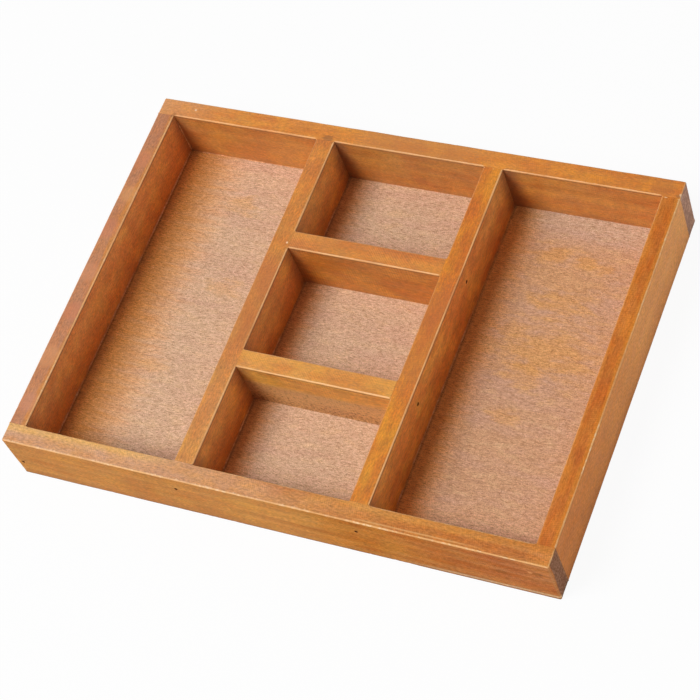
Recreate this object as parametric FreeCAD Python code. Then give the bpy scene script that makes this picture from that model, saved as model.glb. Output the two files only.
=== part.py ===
# Cutlery tray: a nailed frame of planed softwood, four dividers and a thin plywood floor let in from below.
# Origin at the middle of the underside, +X to the right along the long side, +Y to the rear, +Z up.
import FreeCAD, Part
import os

from FreeCAD import Vector

# Whole tray, in millimetres
tray_length = 340.0
tray_width = 250.0
tray_height = 40.0

# Planed stock
long_rail_thickness = 12.0
side_rail_thickness = 11.0
long_divider_thickness = 12.0
cross_divider_thickness = 12.0

# Clear openings that say where the dividers stand; the middle bay and the middle cell get what is left
left_bay_width = 99.0
right_bay_width = 97.5
front_cell_depth = 65.5
rear_cell_depth = 65.5

# Plywood floor in a recess that is open underneath
floor_thickness = 2.5
floor_ledge_width = 6.0
floor_edge_gap = 0.3
floor_corner_radius = 4.0

# Worn edges, and the largest share of the thinnest board that an arris may take
arris_radius = 0.6
outer_corner_radius = 1.2
arris_share = 1 / 3

# Headed brads through the rails and the long dividers
brad_length = 25.0
brad_diameter = 1.2
brad_head_diameter = 1.9
brad_head_height = 0.6
brad_tip_height = 1.5
brad_tip_diameter = 0.3
brad_set_depth = 1.0
brad_height = 28.0
left_corner_brad_height = 15.0
left_corner_brad_inset = 4.6
right_corner_brad_inset = 6.5
left_divider_brad_offset = -3.8
right_divider_brad_offset = -0.3

# Flat-headed pins that hold the floor up
pin_length = 14.0
pin_diameter = 1.0
pin_head_diameter = 2.2
pin_head_height = 0.4
pin_tip_height = 1.2
pin_tip_diameter = 0.3
pin_set_depth = 0.2
long_rail_pins = 4
side_rail_pins = 2
divider_pins = 2
pin_end_margin = 45.0

# Room around a brad, a pin or the filler in its hole
nail_gap = 0.05

# An edge this close to a face counts as lying on it
on_face = 1e-6

# Faces of the frame
left = -tray_length / 2
right = tray_length / 2
front = -tray_width / 2
rear = tray_width / 2
inner_left = left + side_rail_thickness
inner_right = right - side_rail_thickness
inner_front = front + long_rail_thickness
inner_rear = rear - long_rail_thickness

# Faces of the dividers
left_divider_start = inner_left + left_bay_width
left_divider_end = left_divider_start + long_divider_thickness
right_divider_end = inner_right - right_bay_width
right_divider_start = right_divider_end - long_divider_thickness
front_cross_start = inner_front + front_cell_depth
front_cross_end = front_cross_start + cross_divider_thickness
rear_cross_end = inner_rear - rear_cell_depth
rear_cross_start = rear_cross_end - cross_divider_thickness

to_rear = Vector(0, 1, 0)
to_front = Vector(0, -1, 0)
to_right = Vector(1, 0, 0)
to_left = Vector(-1, 0, 0)
up = Vector(0, 0, 1)


def block(x_start, x_end, y_start, y_end, z_start, z_end):
    corner = Vector(x_start, y_start, z_start)
    return Part.makeBox(x_end - x_start, y_end - y_start, z_end - z_start, corner)


def long_divider(x_start, x_end):
    return block(x_start, x_end, inner_front, inner_rear, floor_thickness, tray_height)


def cross_divider(y_start, y_end):
    return block(left_divider_end, right_divider_start, y_start, y_end, floor_thickness, tray_height)


def timber_blanks():
    """Square-edged pieces: the rails stand full height, the dividers stand on the floor."""
    return {
        "front_rail": block(left, right, front, inner_front, 0, tray_height),
        "rear_rail": block(left, right, inner_rear, rear, 0, tray_height),
        "left_side_rail": block(left, inner_left, inner_front, inner_rear, 0, tray_height),
        "right_side_rail": block(inner_right, right, inner_front, inner_rear, 0, tray_height),
        "left_divider": long_divider(left_divider_start, left_divider_end),
        "right_divider": long_divider(right_divider_start, right_divider_end),
        "front_cross_divider": cross_divider(front_cross_start, front_cross_end),
        "rear_cross_divider": cross_divider(rear_cross_start, rear_cross_end),
    }


def lies_at(edge, height):
    box = edge.BoundBox
    return abs(box.ZMin - height) < on_face and abs(box.ZMax - height) < on_face


def on_outline(edge):
    box = edge.BoundBox
    middle_x = (box.XMin + box.XMax) / 2
    middle_y = (box.YMin + box.YMax) / 2
    return abs(abs(middle_x) - right) < on_face or abs(abs(middle_y) - rear) < on_face


def is_outer_corner(edge):
    box = edge.BoundBox
    upright = box.ZLength > tray_height / 2
    return upright and abs(abs(box.XMin) - right) < on_face and abs(abs(box.YMin) - rear) < on_face


def eased_tray(blanks):
    """The glued-up tray with its outer corners and its exposed top and bottom edges rounded."""
    first, *others = blanks.values()
    whole = first.multiFuse(others).removeSplitter()
    corners = [edge for edge in whole.Edges if is_outer_corner(edge)]
    rounded = whole.makeFillet(outer_corner_radius, corners)
    thinnest_rail = min(long_rail_thickness, side_rail_thickness)
    thinnest_divider = min(long_divider_thickness, cross_divider_thickness)
    radius = min(arris_radius, arris_share * thinnest_rail, arris_share * thinnest_divider)
    top_edges = [edge for edge in rounded.Edges if lies_at(edge, tray_height)]
    foot_edges = [edge for edge in rounded.Edges if lies_at(edge, 0) and on_outline(edge)]
    return rounded.makeFillet(radius, top_edges + foot_edges)


def rounded_plate(half_length, half_width, height, radius):
    plate = block(-half_length, half_length, -half_width, half_width, 0, height)
    uprights = [edge for edge in plate.Edges if edge.BoundBox.ZLength > height / 2]
    return plate.makeFillet(radius, uprights)


def floor_recess():
    half_length = inner_right + floor_ledge_width
    half_width = inner_rear + floor_ledge_width
    return rounded_plate(half_length, half_width, floor_thickness, floor_corner_radius)


def floor_panel():
    half_length = inner_right + floor_ledge_width - floor_edge_gap
    half_width = inner_rear + floor_ledge_width - floor_edge_gap
    return rounded_plate(half_length, half_width, floor_thickness, floor_corner_radius - floor_edge_gap)


def nail(entry, direction, size):
    """One nail with its head set below the surface that it went in by."""
    length, diameter, head_diameter, head_height, tip_height, tip_diameter, set_depth = size
    head_base = entry + direction * set_depth
    shank_base = head_base + direction * head_height
    shank_length = length - head_height - tip_height
    tip_base = shank_base + direction * shank_length
    head = Part.makeCylinder(head_diameter / 2, head_height, head_base, direction)
    shank = Part.makeCylinder(diameter / 2, shank_length, shank_base, direction)
    tip = Part.makeCone(diameter / 2, tip_diameter / 2, tip_height, tip_base, direction)
    return head.multiFuse([shank, tip]).removeSplitter()


def nail_hole(entry, direction, size):
    """The hole a nail leaves: head-wide down to the head's underside, then shank-wide."""
    length, diameter, head_diameter, head_height, tip_height, tip_diameter, set_depth = size
    outside = entry - direction * nail_gap
    mouth_depth = nail_gap + set_depth + head_height
    shaft_depth = nail_gap + set_depth + length + nail_gap
    mouth = Part.makeCylinder(head_diameter / 2 + nail_gap, mouth_depth, outside, direction)
    shaft = Part.makeCylinder(diameter / 2 + nail_gap, shaft_depth, outside, direction)
    return mouth.fuse(shaft)


brad_size = (
    brad_length, brad_diameter, brad_head_diameter, brad_head_height,
    brad_tip_height, brad_tip_diameter, brad_set_depth,
)
pin_size = (
    pin_length, pin_diameter, pin_head_diameter, pin_head_height,
    pin_tip_height, pin_tip_diameter, pin_set_depth,
)


def rail_brad_places():
    """X and Z of the brads in a long rail: one into each side rail and one into each long divider."""
    left_divider_middle = (left_divider_start + left_divider_end) / 2
    right_divider_middle = (right_divider_start + right_divider_end) / 2
    return [
        (left + left_corner_brad_inset, left_corner_brad_height),
        (left_divider_middle + left_divider_brad_offset, brad_height),
        (right_divider_middle + right_divider_brad_offset, brad_height),
        (right - right_corner_brad_inset, brad_height),
    ]


def cross_divider_middles():
    return [(front_cross_start + front_cross_end) / 2, (rear_cross_start + rear_cross_end) / 2]


def brad_entries():
    """Where each group of brads goes in, and which way."""
    return {
        "front_rail_brads": ([Vector(x, front, z) for x, z in rail_brad_places()], to_rear),
        "rear_rail_brads": ([Vector(x, rear, z) for x, z in rail_brad_places()], to_front),
        "left_divider_brads": (
            [Vector(left_divider_start, y, brad_height) for y in cross_divider_middles()], to_right
        ),
        "right_divider_brads": (
            [Vector(right_divider_end, y, brad_height) for y in cross_divider_middles()], to_left
        ),
    }


def spread(start, end, count):
    """Even places from start to end, both ends kept clear by the pins' end margin."""
    first = start + pin_end_margin
    last = end - pin_end_margin
    if count == 1:
        return [(start + end) / 2]
    return [first + (last - first) * step / (count - 1) for step in range(count)]


def pin_entries():
    """Pins through the floor's border into the rails, and up into the long dividers."""
    ledge_x = inner_right + floor_ledge_width / 2
    ledge_y = inner_rear + floor_ledge_width / 2
    places = []
    for x in spread(left, right, long_rail_pins):
        places += [(x, -ledge_y), (x, ledge_y)]
    for y in spread(front, rear, side_rail_pins):
        places += [(-ledge_x, y), (ledge_x, y)]
    for y in spread(inner_front, inner_rear, divider_pins):
        places.append(((left_divider_start + left_divider_end) / 2, y))
        places.append(((right_divider_start + right_divider_end) / 2, y))
    return [Vector(x, y, 0) for x, y in places]


def nail_hole_filler():
    """The plug over the brad at the right-hand end of the front rail, flush with the wood."""
    x, z = rail_brad_places()[-1]
    return Part.makeCylinder(brad_head_diameter / 2, brad_set_depth, Vector(x, front, z), to_rear)


def build():
    blanks = timber_blanks()
    eased = eased_tray(blanks)
    entries = brad_entries()
    holes = [nail_hole(place, way, brad_size) for places, way in entries.values() for place in places]
    holes += [nail_hole(place, up, pin_size) for place in pin_entries()]
    drilled = Part.makeCompound(holes)
    recess = floor_recess()

    nodes = {}
    for name, blank in blanks.items():
        nodes[name] = blank.common(eased).cut(recess).cut(drilled).removeSplitter()
    nodes["floor_panel"] = floor_panel().cut(drilled)
    for name, (places, way) in entries.items():
        nodes[name] = Part.makeCompound([nail(place, way, brad_size) for place in places])
    nodes["nail_hole_filler"] = nail_hole_filler()
    nodes["floor_pins"] = Part.makeCompound([nail(place, up, pin_size) for place in pin_entries()])
    return nodes


os.makedirs("parts", exist_ok=True)
for name, shape in build().items():
    print(name, "solids", len(shape.Solids), "valid", shape.isValid(), "volume mm3", round(shape.Volume))
    shape.exportStep("parts/" + name + ".step")
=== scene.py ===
import bmesh
import bpy
import math
import random
from mathutils import Matrix, Vector


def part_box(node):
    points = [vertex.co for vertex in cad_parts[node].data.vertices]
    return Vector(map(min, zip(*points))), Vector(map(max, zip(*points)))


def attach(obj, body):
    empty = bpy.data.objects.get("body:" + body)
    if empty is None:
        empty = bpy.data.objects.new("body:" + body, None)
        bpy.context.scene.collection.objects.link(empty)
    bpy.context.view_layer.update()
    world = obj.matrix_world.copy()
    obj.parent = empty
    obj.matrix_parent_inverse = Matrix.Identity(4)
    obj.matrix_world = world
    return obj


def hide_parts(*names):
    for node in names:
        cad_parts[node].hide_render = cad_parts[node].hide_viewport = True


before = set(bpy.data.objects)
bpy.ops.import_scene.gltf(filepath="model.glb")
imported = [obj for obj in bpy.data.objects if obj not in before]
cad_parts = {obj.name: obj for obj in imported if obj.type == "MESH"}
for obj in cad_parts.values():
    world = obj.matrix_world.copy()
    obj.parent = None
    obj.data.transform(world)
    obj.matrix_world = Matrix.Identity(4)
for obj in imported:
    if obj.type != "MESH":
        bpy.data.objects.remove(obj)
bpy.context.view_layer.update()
scene = bpy.context.scene
mm = 0.001  # everything below is written in millimetres and kept in metres
print("frame loaded:", len(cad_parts), "nodes")


# Camera, lights and floor

cameraView = {
    "azimuth": 43.35,  # degrees round the tray, 0 looks along +Y
    "elevation": 55.30,
    "roll": 26.36,
    "aim": (5.68, -12.58, 20.0),
    "distance": 1343.7,
    "lens": 119.43,
}


def placeCamera(view):
    azimuth = math.radians(view["azimuth"])
    elevation = math.radians(view["elevation"])
    roll = math.radians(view["roll"])
    back = Vector((
        math.sin(azimuth) * math.cos(elevation),
        -math.cos(azimuth) * math.cos(elevation),
        math.sin(elevation),
    ))
    level = Vector((math.cos(azimuth), math.sin(azimuth), 0))
    up = back.cross(level) * math.cos(roll) + level * math.sin(roll)
    turn = Matrix((up.cross(back), up, back)).transposed()
    camera = bpy.data.objects.new("trayCamera", bpy.data.cameras.new("trayCamera"))
    camera.data.lens = view["lens"]
    camera.data.clip_start = 0.05
    camera.data.clip_end = 20
    camera.matrix_world = Matrix.Translation((Vector(view["aim"]) + back * view["distance"]) * mm) @ turn.to_4x4()
    scene.collection.objects.link(camera)
    scene.camera = camera


studioLight = {
    "keyFrom": (-0.44, -0.50, 1.0),  # the big soft lamp stands to the front left, well above
    "keyDistance": 3.0,
    "keySize": 1.6,
    "keyPower": 84.0,
    "fillFrom": (1.0, 0.05, 0.15),  # a low white board to the right
    "fillDistance": 1.8,
    "fillSize": 0.6,
    "fillPower": 7.5,
    "around": 0.145,  # light from all sides
    "floor": (0.8, 0.8, 0.8),
    "floorWhite": 0.94,
}


def addLamp(name, direction, distance, size, power):
    lamp = bpy.data.lights.new(name, "AREA")
    lamp.shape = "DISK"
    lamp.size = size
    lamp.energy = power
    holder = bpy.data.objects.new(name, lamp)
    towards = Vector(direction).normalized()
    holder.matrix_world = Matrix.Translation(towards * distance) @ towards.to_track_quat("Z", "Y").to_matrix().to_4x4()
    scene.collection.objects.link(holder)


def addNode(tree, kind, settings=None, inputs=None):
    node = tree.nodes.new(kind)
    for name, value in (settings or {}).items():
        setattr(node, name, value)
    for socket, value in (inputs or {}).items():
        if isinstance(value, bpy.types.NodeSocket):
            tree.links.new(value, node.inputs[socket])
        else:
            node.inputs[socket].default_value = value
    return node


def maths(tree, operation, *values):
    return addNode(tree, "ShaderNodeMath", {"operation": operation}, dict(enumerate(values))).outputs[0]


def vectorMaths(tree, operation, *values):
    node = addNode(tree, "ShaderNodeVectorMath", {"operation": operation}, dict(enumerate(values)))
    return node.outputs[1 if operation in ("LENGTH", "DOT_PRODUCT", "DISTANCE") else 0]


def scaled(tree, vector, factor):
    return addNode(tree, "ShaderNodeVectorMath", {"operation": "SCALE"}, {0: vector, "Scale": factor}).outputs[0]


def mixColours(tree, factor, first, second, blend="MIX"):
    settings = {"data_type": "RGBA", "blend_type": blend}
    return addNode(tree, "ShaderNodeMix", settings, {0: factor, 6: first, 7: second}).outputs[2]


def smoothStep(tree, value, start, end, low=0.0, high=1.0):
    inputs = {0: value, 1: start, 2: end, 3: low, 4: high}
    return addNode(tree, "ShaderNodeMapRange", {"interpolation_type": "SMOOTHSTEP"}, inputs).outputs[0]


def noise(tree, vector, scale, detail=3.0, roughness=0.55):
    inputs = {"Vector": vector, "Scale": scale, "Detail": detail, "Roughness": roughness}
    return addNode(tree, "ShaderNodeTexNoise", None, inputs).outputs["Fac"]


def newGroup(name, kind, inputs, outputs):
    tree = bpy.data.node_groups.new(name, kind)
    for label, socketType, value in inputs:
        socket = tree.interface.new_socket(name=label, in_out="INPUT", socket_type="NodeSocket" + socketType)
        if value is not None:
            socket.default_value = value
    for label, socketType in outputs:
        tree.interface.new_socket(name=label, in_out="OUTPUT", socket_type="NodeSocket" + socketType)
    return tree, tree.nodes.new("NodeGroupInput").outputs, tree.nodes.new("NodeGroupOutput").inputs


def seenByCamera(tree):
    path = tree.nodes.new("ShaderNodeLightPath")
    seen = maths(tree, "MAXIMUM", path.outputs["Is Camera Ray"], path.outputs["Is Glossy Ray"])
    return maths(tree, "MAXIMUM", seen, path.outputs["Is Transmission Ray"])


def buildStudio(light):
    addLamp("keyLamp", light["keyFrom"], light["keyDistance"], light["keySize"], light["keyPower"])
    addLamp("fillLamp", light["fillFrom"], light["fillDistance"], light["fillSize"], light["fillPower"])
    world = bpy.data.worlds.new("studioWorld")
    world.use_nodes = True
    tree = world.node_tree
    background = tree.nodes["Background"]
    background.inputs["Color"].default_value = (1, 1, 1, 1)
    strength = maths(tree, "MULTIPLY_ADD", seenByCamera(tree), 1 - light["around"], light["around"])
    tree.links.new(strength, background.inputs["Strength"])
    scene.world = world

    paper = bpy.data.materials.new("paleFloor")
    paper.use_nodes = True
    tree = paper.node_tree
    surface = tree.nodes["Principled BSDF"]
    surface.inputs["Base Color"].default_value = (*light["floor"], 1)
    surface.inputs["Roughness"].default_value = 0.9
    surface.inputs["Specular IOR Level"].default_value = 0
    white = addNode(tree, "ShaderNodeEmission", None, {"Color": (1, 1, 1, 1), "Strength": 1.0})
    share = maths(tree, "MULTIPLY", seenByCamera(tree), light["floorWhite"])
    mixed = addNode(tree, "ShaderNodeMixShader", None, {0: share, 1: surface.outputs[0], 2: white.outputs[0]})
    tree.links.new(mixed.outputs[0], tree.nodes["Material Output"].inputs["Surface"])

    half = 3.0
    mesh = bpy.data.meshes.new("studioFloor")
    corners = [(-half, -half, 0), (half, -half, 0), (half, half, 0), (-half, half, 0)]
    mesh.from_pydata(corners, [], [(0, 1, 2, 3)])
    mesh.materials.append(paper)
    floor = bpy.data.objects.new("studioFloor", mesh)
    floor.location.z = -0.0002
    scene.collection.objects.link(floor)
    scene.view_settings.view_transform = "Standard"


placeCamera(cameraView)
buildStudio(studioLight)
print("camera, lamps and floor placed")


# Shader groups

def grainGroup():
    inputs = [
        ("Vector", "Vector", None),  # object place turned so that X runs along the grain, in metres
        ("Ring Spacing", "Float", 0.0045),
        ("Pith Y", "Float", 0.05),
        ("Pith Z", "Float", -0.04),
        ("Slope", "Float", 0.05),
        ("Seed", "Float", 0.0),
    ]
    outputs = [("Rings", "Float"), ("Streaks", "Float"), ("Fibres", "Float"), ("Pores", "Float")]
    tree, given, made = newGroup("planedGrain", "ShaderNodeTree", inputs, outputs)
    seed = addNode(tree, "ShaderNodeCombineXYZ", None, {0: given["Seed"], 1: given["Seed"], 2: given["Seed"]})
    place = vectorMaths(tree, "ADD", given["Vector"], seed.outputs[0])
    slow = vectorMaths(tree, "MULTIPLY", place, (5.0, 22.0, 22.0))
    bend = maths(tree, "SUBTRACT", noise(tree, slow, 1.0, 2.0), 0.5)
    apart = addNode(tree, "ShaderNodeSeparateXYZ", None, {0: given["Vector"]})
    lean = maths(tree, "MULTIPLY", apart.outputs[0], given["Slope"])
    acrossY = maths(tree, "ADD", maths(tree, "SUBTRACT", apart.outputs[1], given["Pith Y"]), lean)
    acrossZ = maths(tree, "SUBTRACT", apart.outputs[2], given["Pith Z"])
    radial = addNode(tree, "ShaderNodeCombineXYZ", None, {0: 0.0, 1: acrossY, 2: acrossZ})
    radius = vectorMaths(tree, "LENGTH", radial.outputs[0])
    bent = maths(tree, "MULTIPLY_ADD", bend, 0.012, radius)
    turns = maths(tree, "DIVIDE", bent, given["Ring Spacing"])
    wave = maths(tree, "FRACT", turns)
    rise = smoothStep(tree, wave, 0.0, 0.85)
    fall = smoothStep(tree, wave, 0.88, 1.0, 1.0, 0.0)
    tree.links.new(maths(tree, "MULTIPLY", rise, fall), made["Rings"])
    long = vectorMaths(tree, "MULTIPLY", place, (4.5, 150.0, 150.0))
    tree.links.new(noise(tree, long, 1.0, 3.0, 0.5), made["Streaks"])
    fine = vectorMaths(tree, "MULTIPLY", place, (45.0, 1500.0, 1500.0))
    tree.links.new(noise(tree, fine, 1.0, 2.0, 0.6), made["Fibres"])
    short = vectorMaths(tree, "MULTIPLY", place, (130.0, 2600.0, 2600.0))
    tree.links.new(smoothStep(tree, noise(tree, short, 1.0, 0.0), 0.64, 0.74), made["Pores"])
    return tree


def patchGroup():
    inputs = [
        ("Vector", "Vector", None),
        ("Stretch", "Vector", (1.0, 1.0, 1.0)),
        ("Scale", "Float", 20.0),
        ("Amount", "Float", 0.5),
        ("Softness", "Float", 0.12),
        ("Seed", "Float", 0.0),
    ]
    tree, given, made = newGroup("stainPatches", "ShaderNodeTree", inputs, [("Mask", "Float")])
    seed = addNode(tree, "ShaderNodeCombineXYZ", None, {0: given["Seed"], 1: given["Seed"], 2: given["Seed"]})
    place = vectorMaths(tree, "MULTIPLY", given["Vector"], given["Stretch"])
    place = vectorMaths(tree, "ADD", place, seed.outputs[0])
    cloud = noise(tree, place, given["Scale"], 4.0, 0.6)
    middle = maths(tree, "MULTIPLY_ADD", given["Amount"], -0.4, 0.7)
    start = maths(tree, "SUBTRACT", middle, given["Softness"])
    end = maths(tree, "ADD", middle, given["Softness"])
    tree.links.new(smoothStep(tree, cloud, start, end), made["Mask"])
    return tree


def wearAndHighlightGroup():
    inputs = [
        ("Vector", "Vector", None),
        ("Normal", "Vector", None),
        ("Seed", "Float", 0.0),
    ]
    tree, given, made = newGroup("arrisWearAndHighlight", "ShaderNodeTree", inputs, [("Mask", "Float"), ("Bare", "Float")])
    apart = addNode(tree, "ShaderNodeSeparateXYZ", None, {0: vectorMaths(tree, "ABSOLUTE", given["Normal"])})
    flat = maths(tree, "MAXIMUM", maths(tree, "MAXIMUM", apart.outputs[0], apart.outputs[1]), apart.outputs[2])
    signed = addNode(tree, "ShaderNodeSeparateXYZ", None, {0: given["Normal"]})
    upward = signed.outputs[2]
    # The arris highlight is painted as well as worn: full on arrises that face up, weaker on those facing -X, none on
    # those facing down
    level = smoothStep(tree, upward, 0.05, 0.4, 0.22, 1.0)
    level = maths(tree, "MULTIPLY", level, smoothStep(tree, upward, -0.3, -0.05))
    level = maths(tree, "MULTIPLY", level, smoothStep(tree, signed.outputs[0], -0.4, -0.1, 0.3, 1.0))
    edge = maths(tree, "MULTIPLY", smoothStep(tree, flat, 0.998, 0.93), level)
    seed = addNode(tree, "ShaderNodeCombineXYZ", None, {0: given["Seed"], 1: given["Seed"], 2: given["Seed"]})
    place = vectorMaths(tree, "ADD", given["Vector"], seed.outputs[0])
    slow = smoothStep(tree, noise(tree, place, 30.0, 3.0, 0.6), 0.35, 0.6)
    fine = smoothStep(tree, noise(tree, place, 420.0, 2.0, 0.6), 0.5, 0.66)
    tree.links.new(maths(tree, "MULTIPLY", edge, maths(tree, "MULTIPLY_ADD", slow, 0.5, 0.5)), made["Mask"])
    tree.links.new(maths(tree, "MULTIPLY", edge, maths(tree, "MULTIPLY", fine, slow)), made["Bare"])
    return tree


def rippleGroup():
    inputs = [
        ("Vector", "Vector", None),
        ("Direction", "Vector", (1.0, 0.0, 0.0)),
        ("Pitch", "Float", 0.0012),
        ("Seed", "Float", 0.0),
    ]
    tree, given, made = newGroup("planerRipple", "ShaderNodeTree", inputs, [("Height", "Float")])
    along = vectorMaths(tree, "DOT_PRODUCT", given["Vector"], given["Direction"])
    seed = addNode(tree, "ShaderNodeCombineXYZ", None, {0: given["Seed"], 1: given["Seed"], 2: given["Seed"]})
    place = vectorMaths(tree, "ADD", given["Vector"], seed.outputs[0])
    wander = maths(tree, "MULTIPLY_ADD", noise(tree, place, 60.0, 2.0), 0.0016, along)
    phase = maths(tree, "MULTIPLY", maths(tree, "DIVIDE", wander, given["Pitch"]), 2 * math.pi)
    wave = maths(tree, "MULTIPLY_ADD", maths(tree, "SINE", phase), 0.5, 0.5)
    strength = smoothStep(tree, noise(tree, place, 45.0, 2.0), 0.40, 0.62)
    tree.links.new(maths(tree, "MULTIPLY", wave, strength), made["Height"])
    return tree


def speckleGroup():
    inputs = [("Vector", "Vector", None), ("Seed", "Float", 0.0)]
    tree, given, made = newGroup("fineSpeckle", "ShaderNodeTree", inputs, [("Grit", "Float"), ("Warm", "Float")])
    seed = addNode(tree, "ShaderNodeCombineXYZ", None, {0: given["Seed"], 1: given["Seed"], 2: given["Seed"]})
    place = vectorMaths(tree, "ADD", given["Vector"], seed.outputs[0])
    stretched = vectorMaths(tree, "MULTIPLY", place, (0.45, 1.0, 1.0))
    tree.links.new(noise(tree, stretched, 1000.0, 2.0, 0.7), made["Grit"])
    tree.links.new(smoothStep(tree, noise(tree, stretched, 260.0, 3.0, 0.65), 0.4, 0.62), made["Warm"])
    return tree


planedGrain = grainGroup()
stainPatches = patchGroup()
arrisWearAndHighlight = wearAndHighlightGroup()
planerRipple = rippleGroup()
fineSpeckle = speckleGroup()


def useGroup(tree, group, inputs):
    return addNode(tree, "ShaderNodeGroup", {"node_tree": group}, inputs).outputs


# Materials

woodFinish = {
    "pale": (0.76, 0.335, 0.088),
    "deep": (0.56, 0.185, 0.036),
    "golden": (0.78, 0.37, 0.075),
    "red": (0.56, 0.145, 0.036),
    # painted sheen on the tops
    "pinkSheen": (0.64, 0.315, 0.175),
    "even": (0.655, 0.275, 0.075),
    # worn arrises, which also carry a painted highlight
    "worn": (0.95, 0.54, 0.22),
    # rubbed bare wood; also the painted highlight along the foot of the front face
    "bare": (0.98, 0.74, 0.46),
    "splinter": (0.93, 0.62, 0.38),
    "pore": (0.24, 0.075, 0.018),
    "fleck": (0.86, 0.58, 0.30),
    "strip": (0.84, 0.42, 0.11),
    "orange": (0.80, 0.33, 0.045),
    # dark brown of grime, also used for painted shade under arrises, in corners and at the feet
    "grimeAndShade": (0.27, 0.115, 0.055),
    "rough": (0.68, 0.39, 0.19),
    "roughDark": (0.17, 0.07, 0.035),
    "endGrain": (0.20, 0.095, 0.052),
    "endGrainPale": (0.34, 0.185, 0.11),
}


def rgb(colour):
    return (colour[0], colour[1], colour[2], 1.0)


def around(tree, value, strength):
    return maths(tree, "MULTIPLY", maths(tree, "SUBTRACT", value, 0.5), strength)


def tornArris(tree, torn, place, onTop, colour):
    """Pale splinters and short dark gaps along the front top arris, and a faint second line behind it."""
    behind = maths(tree, "SUBTRACT", place[1], torn["edge"] * mm)
    alongEdge = addNode(tree, "ShaderNodeCombineXYZ", None, {0: place[0]}).outputs[0]
    teeth = noise(tree, alongEdge, torn["pitch"], 3.0, 0.8)
    bouts = smoothStep(tree, noise(tree, alongEdge, 70.0, 2.0), 0.36, 0.62, 0.15, 1.0)
    reach = maths(tree, "MULTIPLY", smoothStep(tree, teeth, 0.32, 0.72, 0.0, torn["reach"] * mm), bouts)
    run = smoothStep(tree, place[0], torn["to"] * mm, (torn["to"] - 60) * mm, 0.1, 1.0)
    pale = smoothStep(tree, maths(tree, "SUBTRACT", behind, reach), 0.0007, -0.0003)
    pale = maths(tree, "MULTIPLY", maths(tree, "MULTIPLY", pale, run), onTop)
    colour = mixColours(tree, maths(tree, "MULTIPLY", pale, 0.65), colour, rgb(woodFinish["splinter"]))
    gap = smoothStep(tree, teeth, 0.37, 0.31)
    gap = maths(tree, "MULTIPLY", gap, smoothStep(tree, behind, 0.0016, 0.0009))
    gap = maths(tree, "MULTIPLY", gap, run)
    colour = mixColours(tree, maths(tree, "MULTIPLY", gap, 0.55), colour, rgb(woodFinish["grimeAndShade"]))
    lineRun = smoothStep(tree, place[0], torn["lineFrom"] * mm, (torn["lineFrom"] + 25) * mm)
    fadeOut = smoothStep(tree, place[0], torn["lineTo"] * mm, (torn["lineTo"] - 25) * mm)
    lineRun = maths(tree, "MULTIPLY", lineRun, fadeOut)
    lineAway = maths(tree, "ABSOLUTE", maths(tree, "SUBTRACT", behind, torn["lineBehind"] * mm))
    line = maths(tree, "MULTIPLY", smoothStep(tree, lineAway, 0.0007, 0.0002), lineRun)
    return mixColours(tree, maths(tree, "MULTIPLY", maths(tree, "MULTIPLY", line, onTop), 0.45), colour,
                      rgb(woodFinish["worn"]))


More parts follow.
